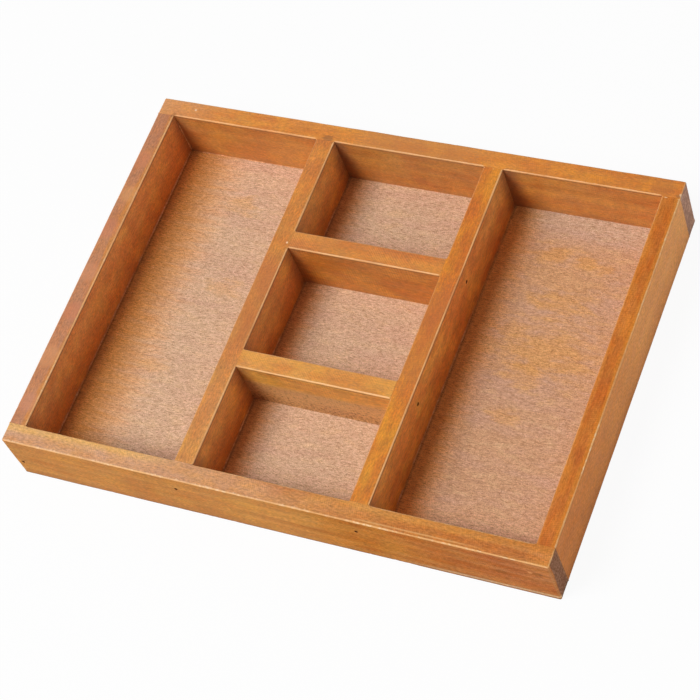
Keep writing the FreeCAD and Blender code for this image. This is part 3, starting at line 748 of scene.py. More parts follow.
boards = {
    "front_rail": {
        "sideRun": (30, 165, (1.01, 1.09, 0.86), (0.94, 0.92, 1.32)), "footShade": 0.25, "endTone": (1.08, 1.07, 1.14),
        "grit": 1.35, "mottle": 0.5, "marks": [
            darkKnot(161.5, -125, 28.0, 2.2), darkKnot(139, -125, 20, 3.0), fillerDab(157.2, -125, 28.1, 1.4),
        ],
        "strips": [(-119.5, -115.5, -45.0, -85.0, 0.55, "strip"), (-118.5, -115.5, 30.0, 60.0, 0.3, "golden")],
        "topRun": (-130, 140, (1.04, 1.13, 1.2), (0.93, 0.83, 0.84)),
        "tornArris": {"edge": -125, "pitch": 420, "reach": 1.7, "to": 60, "lineFrom": 45, "lineTo": 135, "lineBehind": 2.3},
        "footLines": (70, 120, 0.7), "endInset": (-123.6, -122.4),
        "grain": "x", "seed": 1.3, "pith": (-0.16, -0.03), "slope": 0.03, "rings": 0.006, "ringDepth": 0.45,
        # with no gloss, the side tones paint in the reflection of the floor on the front face
        "topToneAndLight": (0.99, 1.04, 1.12), "sideToneAndLight": (0.92, 0.86, 0.93), "gold": 0.4, "red": 0.3, "redAmount": 0.35,
        "from": -95, "to": 95, "sheenStart": 0.95, "sheenEnd": 0.1, "gloss": 0.0, "shadeUnderArris": 0.1,
        "wear": 0.75, "bare": 0.6, "ripple": (0.97, 0.24, 0.0), "rippleDepth": 0.8, "cornerRadius": 1.2,
    },
    "rear_rail": {
        "corners": [-159, -48, -47, 61.5, 62.5], "inside": -1, "footShade": 0.3, "endTone": (1.42, 1.45, 1.68), "endScale": 480.0,
        "grit": 1.0, "mottle": 0.6, "marks": [
            softPatch(5, 119, 40, 50, (0.53, 0.215, 0.064)),
            paleDent(-145.9, 119.5, 40, 0.9), darkKnot(-53, 114.8, 40, 2.8, 0.6), redBlotch(158, 119, 40, 9, 0.4), darkKnot(-158.8, 113.3, 40, 1.7),
            paleDent(169.9, 115.2, 39.6, 1.5), paleDent(170, 113.4, 38.4, 1.4), darkKnot(168.6, 114.2, 40, 1.2),
            paleDent(170, 113.2, 6.5, 1.5), paleDent(170, 113.4, 1.5, 1.1),
        ],
        "grain": "x", "seed": 2.9, "pith": (0.155, 0.0), "slope": -0.02, "rings": 0.005, "ringDepth": 0.2,
        "topRun": (-120, 110, (1.04, 1.12, 1.5), (0.95, 0.9, 0.9)),
        "topToneAndLight": (1.02, 0.88, 0.52), "sideToneAndLight": (0.93, 0.95, 1.0), "gold": 0.5, "red": 0.3, "redAmount": 0.35,
        "from": -165, "to": -110, "sheenStart": 0.9, "sheenEnd": 0.05, "gloss": 0.4, "shadeUnderArris": 0.55,
        "wear": 0.6, "bare": 0.1, "ripple": (0.97, 0.24, 0.0), "rippleDepth": 0.4, "cornerRadius": 1.2,
    },
    "left_side_rail": {
        "corners": [-113, 113], "inside": 1, "footShade": 0.15,
        "grit": 1.4, "mottle": 1.0, "marks": [
            darkKnot(-159.2, 112.6, 39.6, 1.6), softPatch(-166, 78, 40, 8, (0.62, 0.22, 0.10)),
            softPatch(-163, 52, 40, 7, (0.72, 0.33, 0.11)), softPatch(-166, 26, 40, 9, (0.60, 0.21, 0.11)),
            softPatch(-165, -6, 40, 8, (0.66, 0.27, 0.13)), softPatch(-163, -34, 40, 8, (0.60, 0.20, 0.10)),
            softPatch(-165, -66, 40, 9, (0.70, 0.31, 0.13)), softPatch(-164, -98, 40, 8, (0.62, 0.25, 0.14)),
        ],
        "strips": [(162.5, 160.5, 130.0, 100.0, 0.6, "orange")],
        "grain": "y", "seed": 4.1, "pith": (0.19, -0.02), "slope": 0.03, "rings": 0.005, "ringDepth": 0.15,
        "topToneAndLight": (0.75, 0.665, 0.6), "sideToneAndLight": (1.23, 1.36, 1.5), "gold": 0.2, "red": 0.7, "redAmount": 0.6,
        "from": -125, "to": 125, "sheenStart": 1.0, "sheenEnd": 0.8, "gloss": 0.5, "shadeUnderArris": 0.6,
        "wear": 0.9, "bare": 0.6, "ripple": (0.97, 0.24, 0.0), "rippleDepth": 0.4, "cornerRadius": 0.6,
    },
    "right_side_rail": {
        "sideRun": (-120, 120, (0.86, 0.76, 0.60), (1.13, 1.22, 1.09)), "footShade": 0.1, "calm": 0.75,
        "strips": [
            (-161.8, -160.2, -300.0, -299.0, 0.4, "strip"), (-166.6, -168.2, -300.0, -299.0, 0.6, "golden"),
        ],
        "grit": 1.0, "mottle": 0.5,
        "grain": "y", "seed": 5.7, "pith": (-0.20, 0.03), "slope": -0.03, "rings": 0.006, "ringDepth": 0.15,
        # the pale, blue side tone is a painted reflection of the white floor on the matt outer face
        "topToneAndLight": (0.91, 0.70, 0.60), "sideToneAndLight": (1.17, 1.21, 2.10), "gold": 0.5, "red": 0.4, "redAmount": 0.4,
        "from": -125, "to": 125, "sheenStart": 0.1, "sheenEnd": 0.0, "gloss": 0.0, "shadeUnderArris": 0.1,
        "wear": 0.9, "bare": 0.75, "ripple": (0.95, 0.3, 0.0), "rippleDepth": 0.7, "cornerRadius": 0.6,
    },
    "left_divider": {
        "corners": [-113, -47.5, -35.5, 35.5, 47.5, 113], "inside": 1, "footShade": 0.2,
        "topRun": (-100, 100, (1.04, 1.15, 1.14), (1.02, 0.98, 0.84)),
        "grit": 1.3, "mottle": 1.0, "marks": [paleDent(-49.8, 38.7, 40, 0.85), redBlotch(-54, -5, 40, 42)],
        "grain": "y", "seed": 7.2, "pith": (0.09, -0.05), "slope": 0.02, "rings": 0.005, "ringDepth": 0.15,
        "topToneAndLight": (0.88, 0.8, 0.58), "sideToneAndLight": (1.17, 1.21, 1.2), "gold": 0.5, "red": 0.5, "redAmount": 0.5,
        "from": -125, "to": 125, "sheenStart": 0.35, "sheenEnd": 0.1, "gloss": 0.5, "shadeUnderArris": 0.6,
        "wear": 0.9, "bare": 0.25, "ripple": (0.97, 0.24, 0.0), "rippleDepth": 0.4, "cornerRadius": 0.6,
    },
    "right_divider": {
        "marks": [redBlotch(55.5, -5, 40, 46)],
        "corners": [-113, 113], "footShade": 0.18,
        "topRun": (-110, 0, (1.01, 1.14, 1.08), (1.0, 0.98, 0.84)),
        "grit": 1.2, "mottle": 1.0,
        "grain": "y", "seed": 8.8, "pith": (-0.09, -0.04), "slope": -0.025, "rings": 0.0055, "ringDepth": 0.15,
        "topToneAndLight": (0.95, 0.78, 0.28), "sideToneAndLight": (1.31, 1.46, 1.4),
        "sideRun": (10, 100, (1.0, 1.0, 1.0), (0.83, 0.86, 1.05)), "gold": 0.5, "red": 0.6, "redAmount": 0.5,
        "from": -125, "to": 125, "sheenStart": 0.0, "sheenEnd": 0.05, "gloss": 0.5, "shadeUnderArris": 0.6,
        "wear": 0.95, "bare": 0.1, "ripple": (0.97, 0.24, 0.0), "rippleDepth": 0.4, "cornerRadius": 0.6,
    },
    "front_cross_divider": {
        "corners": [-48], "footShade": 0.2, "roughBand": 24,
        "grit": 0.9, "mottle": 0.6,
        "grain": "x", "seed": 10.4, "pith": (-0.07, -0.03), "slope": 0.03, "rings": 0.0045, "ringDepth": 0.15,
        "topToneAndLight": (1.07, 1.12, 0.9), "sideToneAndLight": (1.26, 1.49, 1.33), "gold": 0.6, "red": 0.2, "redAmount": 0.4,
        "from": -60, "to": 60, "sheenStart": 0.2, "sheenEnd": 0.1, "gloss": 0.4, "shadeUnderArris": 0.55,
        "wear": 0.8, "bare": 0.25, "ripple": (0.7, 0.7, 0.0), "rippleDepth": 0.8, "cornerRadius": 0.6,
    },
    "rear_cross_divider": {
        "corners": [-48], "footShade": 0.3,
        "grit": 0.95, "mottle": 0.6,
        "grain": "x", "seed": 12.9, "pith": (0.07, -0.03), "slope": -0.03, "rings": 0.0045, "ringDepth": 0.15,
        "topToneAndLight": (0.95, 0.84, 0.72), "sideToneAndLight": (0.94, 0.9, 0.75), "gold": 0.5, "red": 0.3, "redAmount": 0.4,
        "from": -60, "to": 60, "sheenStart": 0.1, "sheenEnd": 0.0, "gloss": 0.4, "shadeUnderArris": 0.55,
        "wear": 0.7, "bare": 0.1, "ripple": (0.7, 0.7, 0.0), "rippleDepth": 0.8, "cornerRadius": 0.6,
    },
}

timberShape = {
    "arrisRadius": 0.95,
    "jointRadius": 0.07,  # where another member touches, the edge stays nearly sharp
    "jointFade": 0.5,
    "band": 2.2,  # strip along each edge that is cut finely, so that it can be rounded
    "bandCuts": 8,
    "cutLength": 1.3,
    "wear": 0.45,
    "nickDepth": 0.35,
    "waviness": 0.06,
    "roughDepth": 0.5,
}

# Places along the arrises where a chip is gone, in millimetres
chips = {
    "front_rail": [
        (-154.5, -125, 40), (-150.1, -125, 40), (-98.5, -125, 40), (-76.5, -125, 40), (-63.9, -125, 40),
        (-0.8, -125, 40), (12.6, -125, 40), (20.1, -125, 40), (28.2, -125, 40),
    ],
    "rear_rail": [(170, 114.2, 40), (170, 117.0, 40), (170, 113, 9.0), (170, 113, 6.2), (170, 113, 3.4)],
    "right_side_rail": [(170, 111.5, 40), (170, 113, 8.0), (170, 113, 5.0), (170, 112.4, 0.5)],
}


def wornBoardTree():
    inputs = [
        ("Centre", "Vector", None), ("Size", "Vector", None),
        ("Cuts X", "Int", 10), ("Cuts Y", "Int", 10), ("Cuts Z", "Int", 10),
        ("Band", "Float", 0.0018), ("Band Cuts", "Int", 7),
        ("Arris Radius", "Float", 0.0006), ("Corner Radius", "Float", 0.0006),
        ("Joint Radius", "Float", 0.0001), ("Joint Fade", "Float", 0.0015),
        ("Wear", "Float", 0.4), ("Nick Depth", "Float", 0.0003), ("Waviness", "Float", 0.00005),
        ("Rough Depth", "Float", 0.0), ("Rough Top", "Float", 0.024),
        ("Seed", "Float", 0.0), ("Neighbours", "Object", None), ("Chips", "Object", None),
        ("Material", "Material", None),
    ]
    tree, given, made = newGroup("wornBoard", "GeometryNodeTree", inputs, [("Geometry", "Geometry")])
    cuts = addNode(tree, "ShaderNodeCombineXYZ", None, {0: given["Cuts X"], 1: given["Cuts Y"], 2: given["Cuts Z"]})
    cube = addNode(tree, "GeometryNodeMeshCube", None, {
        "Size": (2, 2, 2),
        "Vertices X": maths(tree, "ADD", given["Cuts X"], 1),
        "Vertices Y": maths(tree, "ADD", given["Cuts Y"], 1),
        "Vertices Z": maths(tree, "ADD", given["Cuts Z"], 1),
    })
    start = tree.nodes.new("GeometryNodeInputPosition").outputs[0]

    # The cuts crowd into a band beside each edge
    half = scaled(tree, given["Size"], 0.5)
    band = addNode(tree, "ShaderNodeCombineXYZ", None, {0: given["Band"], 1: given["Band"], 2: given["Band"]}).outputs[0]
    bandShare = vectorMaths(tree, "DIVIDE", scaled(tree, (2, 2, 2), given["Band Cuts"]), cuts.outputs[0])
    inner = vectorMaths(tree, "SUBTRACT", (1, 1, 1), bandShare)
    reach = vectorMaths(tree, "ABSOLUTE", start)
    inside = vectorMaths(tree, "DIVIDE", vectorMaths(tree, "MINIMUM", reach, inner), inner)
    inside = vectorMaths(tree, "MULTIPLY", inside, vectorMaths(tree, "SUBTRACT", half, band))
    beyond = vectorMaths(tree, "MAXIMUM", vectorMaths(tree, "SUBTRACT", reach, inner), (0, 0, 0))
    beyond = vectorMaths(tree, "MULTIPLY", vectorMaths(tree, "DIVIDE", beyond, bandShare), band)
    spread = vectorMaths(tree, "MULTIPLY", vectorMaths(tree, "ADD", inside, beyond), vectorMaths(tree, "SIGN", start))
    place = vectorMaths(tree, "ADD", spread, given["Centre"])

    # The edge radius: tight at a joint, wider at an upright corner, uneven with wear, widest in a chip
    others = addNode(tree, "GeometryNodeObjectInfo", {"transform_space": "ORIGINAL"}, {0: given["Neighbours"]})
    nearest = addNode(tree, "GeometryNodeProximity", {"target_element": "FACES"}, {
        0: others.outputs["Geometry"], 2: place,
    })
    free = smoothStep(tree, nearest.outputs["Distance"], 0.00015, given["Joint Fade"])
    upDown = addNode(tree, "ShaderNodeSeparateXYZ", None, {0: vectorMaths(tree, "ABSOLUTE", spread)}).outputs[2]
    halfHeight = addNode(tree, "ShaderNodeSeparateXYZ", None, {0: half}).outputs[2]
    fromEnd = maths(tree, "SUBTRACT", halfHeight, upDown)
    upright = smoothStep(tree, fromEnd, 0.0003, 0.0035)
    seedVector = addNode(tree, "ShaderNodeCombineXYZ", None, {0: given["Seed"], 1: given["Seed"], 2: given["Seed"]})
    shifted = vectorMaths(tree, "ADD", place, seedVector.outputs[0])
    slow = maths(tree, "SUBTRACT", noise(tree, shifted, 35.0, 3.0, 0.6), 0.5)
    worn = maths(tree, "MULTIPLY_ADD", maths(tree, "MULTIPLY", slow, given["Wear"]), 2.4, 1.0)
    nick = smoothStep(tree, noise(tree, shifted, 260.0, 2.0, 0.5), 0.60, 0.74)
    chipPoints = addNode(tree, "GeometryNodeObjectInfo", {"transform_space": "ORIGINAL"}, {0: given["Chips"]})
    chip = addNode(tree, "GeometryNodeProximity", {"target_element": "POINTS"}, {
        0: chipPoints.outputs["Geometry"], 2: place,
    })
    ragged = maths(tree, "MULTIPLY_ADD", noise(tree, shifted, 700.0, 2.0), 0.0008, chip.outputs["Distance"])
    chipped = smoothStep(tree, ragged, 0.0016, 0.0006)
    chipped = maths(tree, "MULTIPLY", chipped, chip.outputs["Is Valid"])
    radiusRange = maths(tree, "SUBTRACT", given["Corner Radius"], given["Arris Radius"])
    radius = maths(tree, "MULTIPLY_ADD", upright, radiusRange, given["Arris Radius"])
    radius = maths(tree, "MULTIPLY", radius, worn)
    radius = maths(tree, "MULTIPLY_ADD", nick, given["Nick Depth"], radius)
    radius = maths(tree, "MINIMUM", radius, maths(tree, "MULTIPLY", given["Band"], 0.95))
    opened = maths(tree, "SUBTRACT", radius, given["Joint Radius"])
    radius = maths(tree, "MULTIPLY_ADD", free, opened, given["Joint Radius"])
    torn = maths(tree, "MULTIPLY", chipped, maths(tree, "MULTIPLY", given["Band"], 0.62))
    radius = maths(tree, "MAXIMUM", radius, torn)
    radii = addNode(tree, "ShaderNodeCombineXYZ", None, {0: radius, 1: radius, 2: radius}).outputs[0]
    core = vectorMaths(tree, "SUBTRACT", half, radii)
    held = vectorMaths(tree, "MINIMUM", vectorMaths(tree, "MAXIMUM", spread, scaled(tree, core, -1.0)), core)
    outward = vectorMaths(tree, "NORMALIZE", vectorMaths(tree, "SUBTRACT", spread, held))
    rounded = vectorMaths(tree, "ADD", held, vectorMaths(tree, "MULTIPLY", outward, radii))

    # Planed faces are never quite flat, and only ever lower than the full size
    dip = maths(tree, "MULTIPLY", noise(tree, shifted, 22.0, 2.0), given["Waviness"])
    dip = maths(tree, "MULTIPLY", dip, smoothStep(tree, nearest.outputs["Distance"], 0.0, 0.004))
    facesFront = addNode(tree, "ShaderNodeSeparateXYZ", None, {0: outward}).outputs[1]
    height = addNode(tree, "ShaderNodeSeparateXYZ", None, {0: place}).outputs[2]
    rough = maths(tree, "MULTIPLY", smoothStep(tree, facesFront, -0.7, -0.95), given["Rough Depth"])
    rough = maths(tree, "MULTIPLY", rough, smoothStep(tree, height, given["Rough Top"], maths(tree, "SUBTRACT", given["Rough Top"], 0.004)))
    rough = maths(tree, "MULTIPLY", rough, smoothStep(tree, nearest.outputs["Distance"], 0.0, 0.002))
    dip = maths(tree, "MULTIPLY_ADD", noise(tree, shifted, 480.0, 2.0, 0.7), rough, dip)
    lowered = vectorMaths(tree, "SUBTRACT", rounded, scaled(tree, outward, dip))
    final = vectorMaths(tree, "ADD", lowered, given["Centre"])
    placed = addNode(tree, "GeometryNodeSetPosition", None, {"Geometry": cube.outputs[0], "Position": final})
    smooth = addNode(tree, "GeometryNodeSetShadeSmooth", None, {"Geometry": placed.outputs[0]})
    real = addNode(tree, "GeometryNodeRealizeInstances", None, {"Geometry": smooth.outputs[0]})
    coated = addNode(tree, "GeometryNodeSetMaterial", None, {
        "Geometry": real.outputs[0], "Material": given["Material"],
    })
    tree.links.new(coated.outputs[0], made["Geometry"])
    return tree


def meshFromTree(name, tree, values):
    holder = bpy.data.objects.new(name, bpy.data.meshes.new(name + "Start"))
    scene.collection.objects.link(holder)
    modifier = holder.modifiers.new(name, "NODES")
    modifier.node_group = tree
    for item in tree.interface.items_tree:
        if item.item_type == "SOCKET" and item.in_out == "INPUT" and item.name in values:
            modifier[item.identifier] = values[item.name]
    bpy.context.view_layer.update()
    depsgraph = bpy.context.evaluated_depsgraph_get()
    mesh = bpy.data.meshes.new_from_object(holder.evaluated_get(depsgraph), depsgraph=depsgraph)
    holder.modifiers.remove(modifier)
    mesh.name = name
    holder.data = mesh
    return holder


def plainObject(name, points, faces):
    mesh = bpy.data.meshes.new(name)
    mesh.from_pydata(points, [], faces)
    holder = bpy.data.objects.new(name, mesh)
    scene.collection.objects.link(holder)
    return holder


def boxPoints(low, high):
    return [(x, y, z) for z in (low[2], high[2]) for y in (low[1], high[1]) for x in (low[0], high[0])]


boxFaces = [(0, 2, 3, 1), (4, 5, 7, 6), (0, 1, 5, 4), (1, 3, 7, 5), (3, 2, 6, 7), (2, 0, 4, 6)]


def boxesAround(name, nodeNames):
    points = []
    faces = []
    for node in nodeNames:
        low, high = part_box(node)
        faces += [tuple(len(points) + corner for corner in face) for face in boxFaces]
        points += boxPoints(low, high)
    return plainObject(name, points, faces)


def forget(holder):
    mesh = holder.data
    bpy.data.objects.remove(holder)
    bpy.data.meshes.remove(mesh)


wornBoard = wornBoardTree()
timbers = {}
for name, board in boards.items():
    low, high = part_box(name)
    size = high - low
    neighbours = boxesAround(name + "Neighbours", [other for other in boards if other != name] + ["floor_panel"])
    chipped = plainObject(name + "Chips", [Vector(point) * mm for point in chips.get(name, [(0, 0, 1000)])], [])
    cuts = [2 * timberShape["bandCuts"] + max(2, round(length / (timberShape["cutLength"] * mm))) for length in size]
    values = {
        "Centre": (low + high) / 2, "Size": size,
        "Cuts X": cuts[0], "Cuts Y": cuts[1], "Cuts Z": cuts[2],
        "Band": timberShape["band"] * mm, "Band Cuts": timberShape["bandCuts"],
        "Arris Radius": timberShape["arrisRadius"] * mm, "Corner Radius": board["cornerRadius"] * mm,
        "Joint Radius": timberShape["jointRadius"] * mm, "Joint Fade": timberShape["jointFade"] * mm,
        "Wear": timberShape["wear"], "Nick Depth": timberShape["nickDepth"] * mm,
        "Waviness": timberShape["waviness"] * mm, "Seed": board["seed"],
        "Rough Depth": timberShape["roughDepth"] * mm if "roughBand" in board else 0.0,
        "Rough Top": board.get("roughBand", 20.0) * mm,
        "Neighbours": neighbours, "Chips": chipped,
        "Material": stainedWood("stainedWood_" + name, board),
    }
    timbers[name] = meshFromTree(name + "_timber", wornBoard, values)
    forget(neighbours)
    forget(chipped)
    print(name, "faces", len(timbers[name].data.polygons))


# Holes and the recess are cut out of the boards

recessShape = {"halfLength": 165.0, "halfWidth": 119.0, "depth": 2.5, "cornerRadius": 4.0}
bradHole = {"profile": [(1.12, -0.3), (1.12, 0.0), (0.98, 0.25), (0.98, 1.62), (0.66, 1.62), (0.66, 26.2)], "sides": 20}
pinHole = {"profile": [(1.18, -0.3), (1.18, 0.62), (0.56, 0.62), (0.56, 14.4)], "sides": 16}


def addTurnedShape(builder, profile, sides, start, direction, roughness=0.0, seed=0):
    rng = random.Random(seed)
    lumps = [(rng.uniform(0, 2 * math.pi), rng.uniform(0.3, 1.0), count) for count in (2, 3, 5)]
    axis = Vector(direction)
    side = axis.orthogonal().normalized()
    other = axis.cross(side)
    rings = []
    for radius, depth in profile:
        ring = []
        for step in range(sides):
            angle = 2 * math.pi * step / sides
            swell = 1 + roughness * sum(math.cos(count * angle + phase) * size for phase, size, count in lumps)
            spoke = side * math.cos(angle) + other * math.sin(angle)
            ring.append(builder.verts.new(Vector(start) + (spoke * radius * swell + axis * depth) * mm))
        rings.append(ring)
    for near, far in zip(rings, rings[1:]):
        for step in range(sides):
            after = (step + 1) % sides
            builder.faces.new((near[step], near[after], far[after], far[step]))
    builder.faces.new(list(reversed(rings[0])))
    builder.faces.new(rings[-1])


def finishBuilder(builder, name, material=None):
    bmesh.ops.recalc_face_normals(builder, faces=builder.faces)
    mesh = bpy.data.meshes.new(name)
    builder.to_mesh(mesh)
    builder.free()
    if material:
        mesh.materials.append(material)
    holder = bpy.data.objects.new(name, mesh)
    scene.collection.objects.link(holder)
    return holder


def solidCentres(node):
    builder = bmesh.new()
    builder.from_mesh(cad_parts[node].data)
    bmesh.ops.remove_doubles(builder, verts=builder.verts, dist=1e-7)
    left = set(builder.verts)
    groups = []
    while left:
        stack = [left.pop()]
        group = []
        while stack:
            vert = stack.pop()
            group.append(vert.co.copy())
            for edge in vert.link_edges:
                other = edge.other_vert(vert)
                if other in left:
                    left.remove(other)
                    stack.append(other)
        low = Vector([min(point[axis] for point in group) for axis in range(3)])
        high = Vector([max(point[axis] for point in group) for axis in range(3)])
        groups.append((low, high))
    builder.free()
    return groups


def holeCutter():
    builder = bmesh.new()
    for node, direction in (
        ("front_rail_brads", (0, 1, 0)), ("rear_rail_brads", (0, -1, 0)),
        ("left_divider_brads", (1, 0, 0)), ("right_divider_brads", (-1, 0, 0)),
    ):
        axis = [index for index in range(3) if direction[index]][0]
        for count, (low, high) in enumerate(sorted(solidCentres(node), key=lambda box: tuple(box[0]))):
            start = (low + high) / 2
            start[axis] = (low if direction[axis] > 0 else high)[axis] - direction[axis] * 1.0 * mm
            addTurnedShape(builder, bradHole["profile"], bradHole["sides"], start, direction, 0.04, count)
    for low, high in solidCentres("floor_pins"):
        start = (low + high) / 2
        start[2] = 0
        addTurnedShape(builder, pinHole["profile"], pinHole["sides"], start, (0, 0, 1))
    return finishBuilder(builder, "nailHoles")


def recessCutter(shape):
    builder = bmesh.new()
    radius = shape["cornerRadius"]
    outline = []
    for signX, signY, startAngle in ((1, 1, 0), (-1, 1, 90), (-1, -1, 180), (1, -1, 270)):
        for step in range(9):
            angle = math.radians(startAngle + step * 90 / 8)
            outline.append((
                signX * (shape["halfLength"] - radius) + radius * math.cos(angle),
                signY * (shape["halfWidth"] - radius) + radius * math.sin(angle),
            ))
    lower = [builder.verts.new(Vector((x, y, -1)) * mm) for x, y in outline]
    upper = [builder.verts.new(Vector((x, y, shape["depth"])) * mm) for x, y in outline]
    for step in range(len(outline)):
        after = (step + 1) % len(outline)
        builder.faces.new((lower[step], lower[after], upper[after], upper[step]))
    builder.faces.new(list(reversed(lower)))
    builder.faces.new(upper)
    return finishBuilder(builder, "floorRecess")


def carve(piece, cutter, material):
    cutter.data.materials.clear()
    cutter.data.materials.append(material)
    modifier = piece.modifiers.new("carve", "BOOLEAN")
    modifier.operation = "DIFFERENCE"
    modifier.solver = "EXACT"
    modifier.material_mode = "TRANSFER"
    modifier.object = cutter
    bpy.context.view_layer.update()
    depsgraph = bpy.context.evaluated_depsgraph_get()
    mesh = bpy.data.meshes.new_from_object(piece.evaluated_get(depsgraph), depsgraph=depsgraph)
    piece.modifiers.remove(modifier)
    old = piece.data
    piece.data = mesh
    bpy.data.meshes.remove(old)


def sharpenCuts(piece, limit=0.7):
    builder = bmesh.new()
    builder.from_mesh(piece.data)
    for edge in builder.edges:
        edge.smooth = not (edge.is_manifold and edge.calc_face_angle() > limit)
    for face in builder.faces:
        face.smooth = True
    builder.to_mesh(piece.data)
    builder.free()


def dropUnusedMaterials(piece):
    mesh = piece.data
    used = []
    for face in mesh.polygons:
        material = mesh.materials[face.material_index]
        if material not in used:
            used.append(material)
    places = [used.index(mesh.materials[face.material_index]) for face in mesh.polygons]
    mesh.materials.clear()
    for material in used:
        mesh.materials.append(material)
    mesh.polygons.foreach_set("material_index", places)


holeWood = holeWall("nailHoleWall", holeFinish)
holes = holeCutter()
recess = recessCutter(recessShape)
for name, timber in timbers.items():
    if name.endswith("rail"):
        carve(timber, recess, bpy.data.materials["stainedWood_" + name])
    carve(timber, holes, holeWood)
    dropUnusedMaterials(timber)
    sharpenCuts(timber)
    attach(timber, "root")
    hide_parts(name)
    print(name, "carved, faces", len(timber.data.polygons))
forget(holes)
forget(recess)


# Dried glue squeezed out along the feet of the left hand walls, and the filler over one nail

fillerFinish = {"pale": (0.50, 0.20, 0.06), "dark": (0.28, 0.09, 0.03), "roughness": 0.7, "specular": 0.2}
glueFinish = {"pale": (0.90, 0.52, 0.27), "dark": (0.62, 0.29, 0.12), "roughness": 0.5, "specular": 0.3}

# Start, end and thickness of each strand, in millimetres
glueStrands = [
    ((-158.8, -112.0, 3.7), (-158.8, -58.0, 3.7), 0.52),
    ((-158.8, -56.0, 3.7), (-158.8, 20.0, 3.7), 0.44),
    ((-158.8, 24.0, 3.7), (-158.8, 112.0, 3.7), 0.46),
    ((-158.6, 112.7, 4.0), (-158.6, 112.7, 34.0), 0.42),
    ((-156.0, 112.8, 2.9), (-64.0, 112.8, 2.9), 0.34),
    ((-47.8, -112.0, 3.6), (-47.8, -50.0, 3.6), 0.46),
    ((-47.8, -34.0, 3.6), (-47.8, -2.0, 3.6), 0.40),
    ((-47.8, 49.0, 3.6), (-47.8, 88.0, 3.6), 0.38),
    ((61.7, -108.0, 3.7), (61.7, -98.0, 3.7), 0.50),
    ((61.7, -95.0, 3.7), (61.7, -84.0, 3.7), 0.54),
    ((61.7, -70.0, 3.6), (61.7, 40.0, 3.6), 0.38),
]


def driedPaste(name, finish):
    material = bpy.data.materials.new(name)
    material.use_nodes = True
    tree = material.node_tree
    surface = tree.nodes["Principled BSDF"]
    place = tree.nodes.new("ShaderNodeTexCoord").outputs["Object"]
    cloud = useGroup(tree, stainPatches, {
        "Vector": place, "Scale": 700.0, "Amount": 0.5, "Softness": 0.16, "Seed": 8.0,
    })["Mask"]
    tree.links.new(mixColours(tree, cloud, rgb(finish["pale"]), rgb(finish["dark"])), surface.inputs["Base Color"])
    tree.links.new(maths(tree, "MULTIPLY_ADD", cloud, 0.15, finish["roughness"]), surface.inputs["Roughness"])
    surface.inputs["Specular IOR Level"].default_value = finish["specular"]
    grain = noise(tree, place, 2600.0, 2.0)
    bump = addNode(tree, "ShaderNodeBump", None, {"Height": grain, "Strength": 0.3, "Distance": 0.0001})
    tree.links.new(bump.outputs[0], surface.inputs["Normal"])
    return material


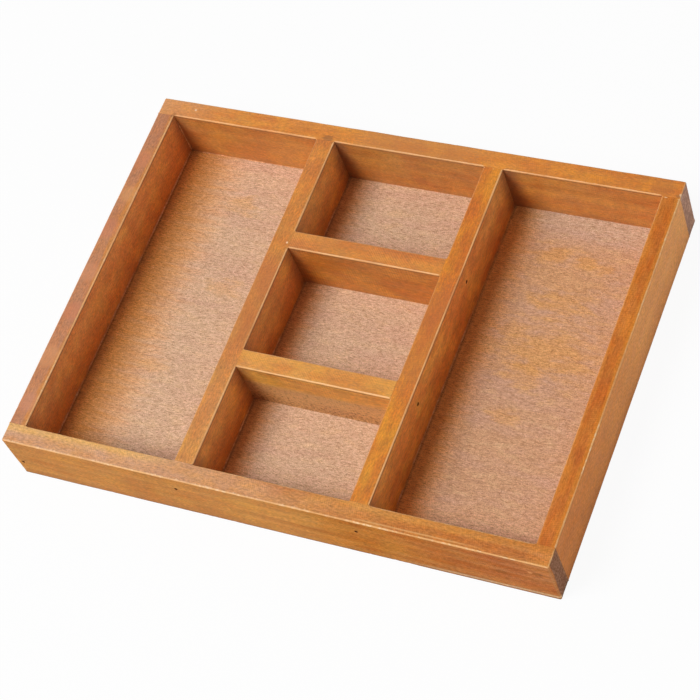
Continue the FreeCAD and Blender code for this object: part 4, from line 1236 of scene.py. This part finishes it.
def glueStrandTree():
    inputs = [
        ("Start", "Vector", None), ("End", "Vector", None), ("Points", "Int", 20), ("Radius", "Float", 0.0004),
        ("Wander", "Float", 0.0002), ("Seed", "Float", 0.0), ("Material", "Material", None),
    ]
    tree, given, made = newGroup("glueStrand", "GeometryNodeTree", inputs, [("Geometry", "Geometry")])
    line = addNode(tree, "GeometryNodeCurvePrimitiveLine", None, {"Start": given["Start"], "End": given["End"]})
    cut = addNode(tree, "GeometryNodeResampleCurve", None, {"Curve": line.outputs[0], "Count": given["Points"]})
    position = tree.nodes.new("GeometryNodeInputPosition").outputs[0]
    seed = addNode(tree, "ShaderNodeCombineXYZ", None, {0: given["Seed"], 1: given["Seed"], 2: given["Seed"]})
    shifted = vectorMaths(tree, "ADD", position, seed.outputs[0])
    drift = addNode(tree, "ShaderNodeTexNoise", None, {"Vector": shifted, "Scale": 260.0, "Detail": 2.0})
    drift = vectorMaths(tree, "SUBTRACT", drift.outputs["Color"], (0.5, 0.5, 0.5))
    spread = addNode(tree, "ShaderNodeVectorMath", {"operation": "SCALE"}, {0: drift, "Scale": given["Wander"]})
    moved = addNode(tree, "GeometryNodeSetPosition", None, {"Geometry": cut.outputs[0], "Offset": spread.outputs[0]})
    lumps = smoothStep(tree, noise(tree, shifted, 190.0, 3.0, 0.6), 0.36, 0.66, 0.25, 1.25)
    along = addNode(tree, "GeometryNodeSplineParameter").outputs[0]
    ends = maths(tree, "MULTIPLY", smoothStep(tree, along, 0.0, 0.06, 0.15, 1.0), smoothStep(tree, along, 1.0, 0.94, 0.15, 1.0))
    thickness = maths(tree, "MULTIPLY", maths(tree, "MULTIPLY", lumps, ends), given["Radius"])
    ring = addNode(tree, "GeometryNodeCurvePrimitiveCircle", None, {"Resolution": 8, "Radius": 1.0})
    body = addNode(tree, "GeometryNodeCurveToMesh", None, {
        "Curve": moved.outputs[0], "Profile Curve": ring.outputs[0], "Scale": thickness, "Fill Caps": True,
    })
    smooth = addNode(tree, "GeometryNodeSetShadeSmooth", None, {"Geometry": body.outputs[0]})
    real = addNode(tree, "GeometryNodeRealizeInstances", None, {"Geometry": smooth.outputs[0]})
    coated = addNode(tree, "GeometryNodeSetMaterial", None, {
        "Geometry": real.outputs[0], "Material": given["Material"],
    })
    tree.links.new(coated.outputs[0], made["Geometry"])
    return tree


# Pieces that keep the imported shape

def dress(node, material):
    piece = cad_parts[node]
    piece.data.materials.clear()
    piece.data.materials.append(material)


dress("floor_panel", plywood("veneeredFloor", plywoodFinish))
steel = dulledSteel("dulledSteel", steelFinish)
for node in ("front_rail_brads", "rear_rail_brads", "left_divider_brads", "right_divider_brads", "floor_pins"):
    dress(node, steel)
dress("nail_hole_filler", driedPaste("stainedFiller", fillerFinish))

glue = driedPaste("driedGlue", glueFinish)
strandTree = glueStrandTree()
for count, (start, end, radius) in enumerate(glueStrands):
    length = (Vector(end) - Vector(start)).length
    strand = meshFromTree("glueStrand%d" % (count + 1), strandTree, {
        "Start": Vector(start) * mm, "End": Vector(end) * mm, "Points": max(8, round(length / 0.7)),
        "Radius": radius * mm, "Wander": 0.22 * mm, "Seed": count * 3.7 + 0.5, "Material": glue,
    })
    dropUnusedMaterials(strand)
    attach(strand, "root")
print("glue strands", len(glueStrands))
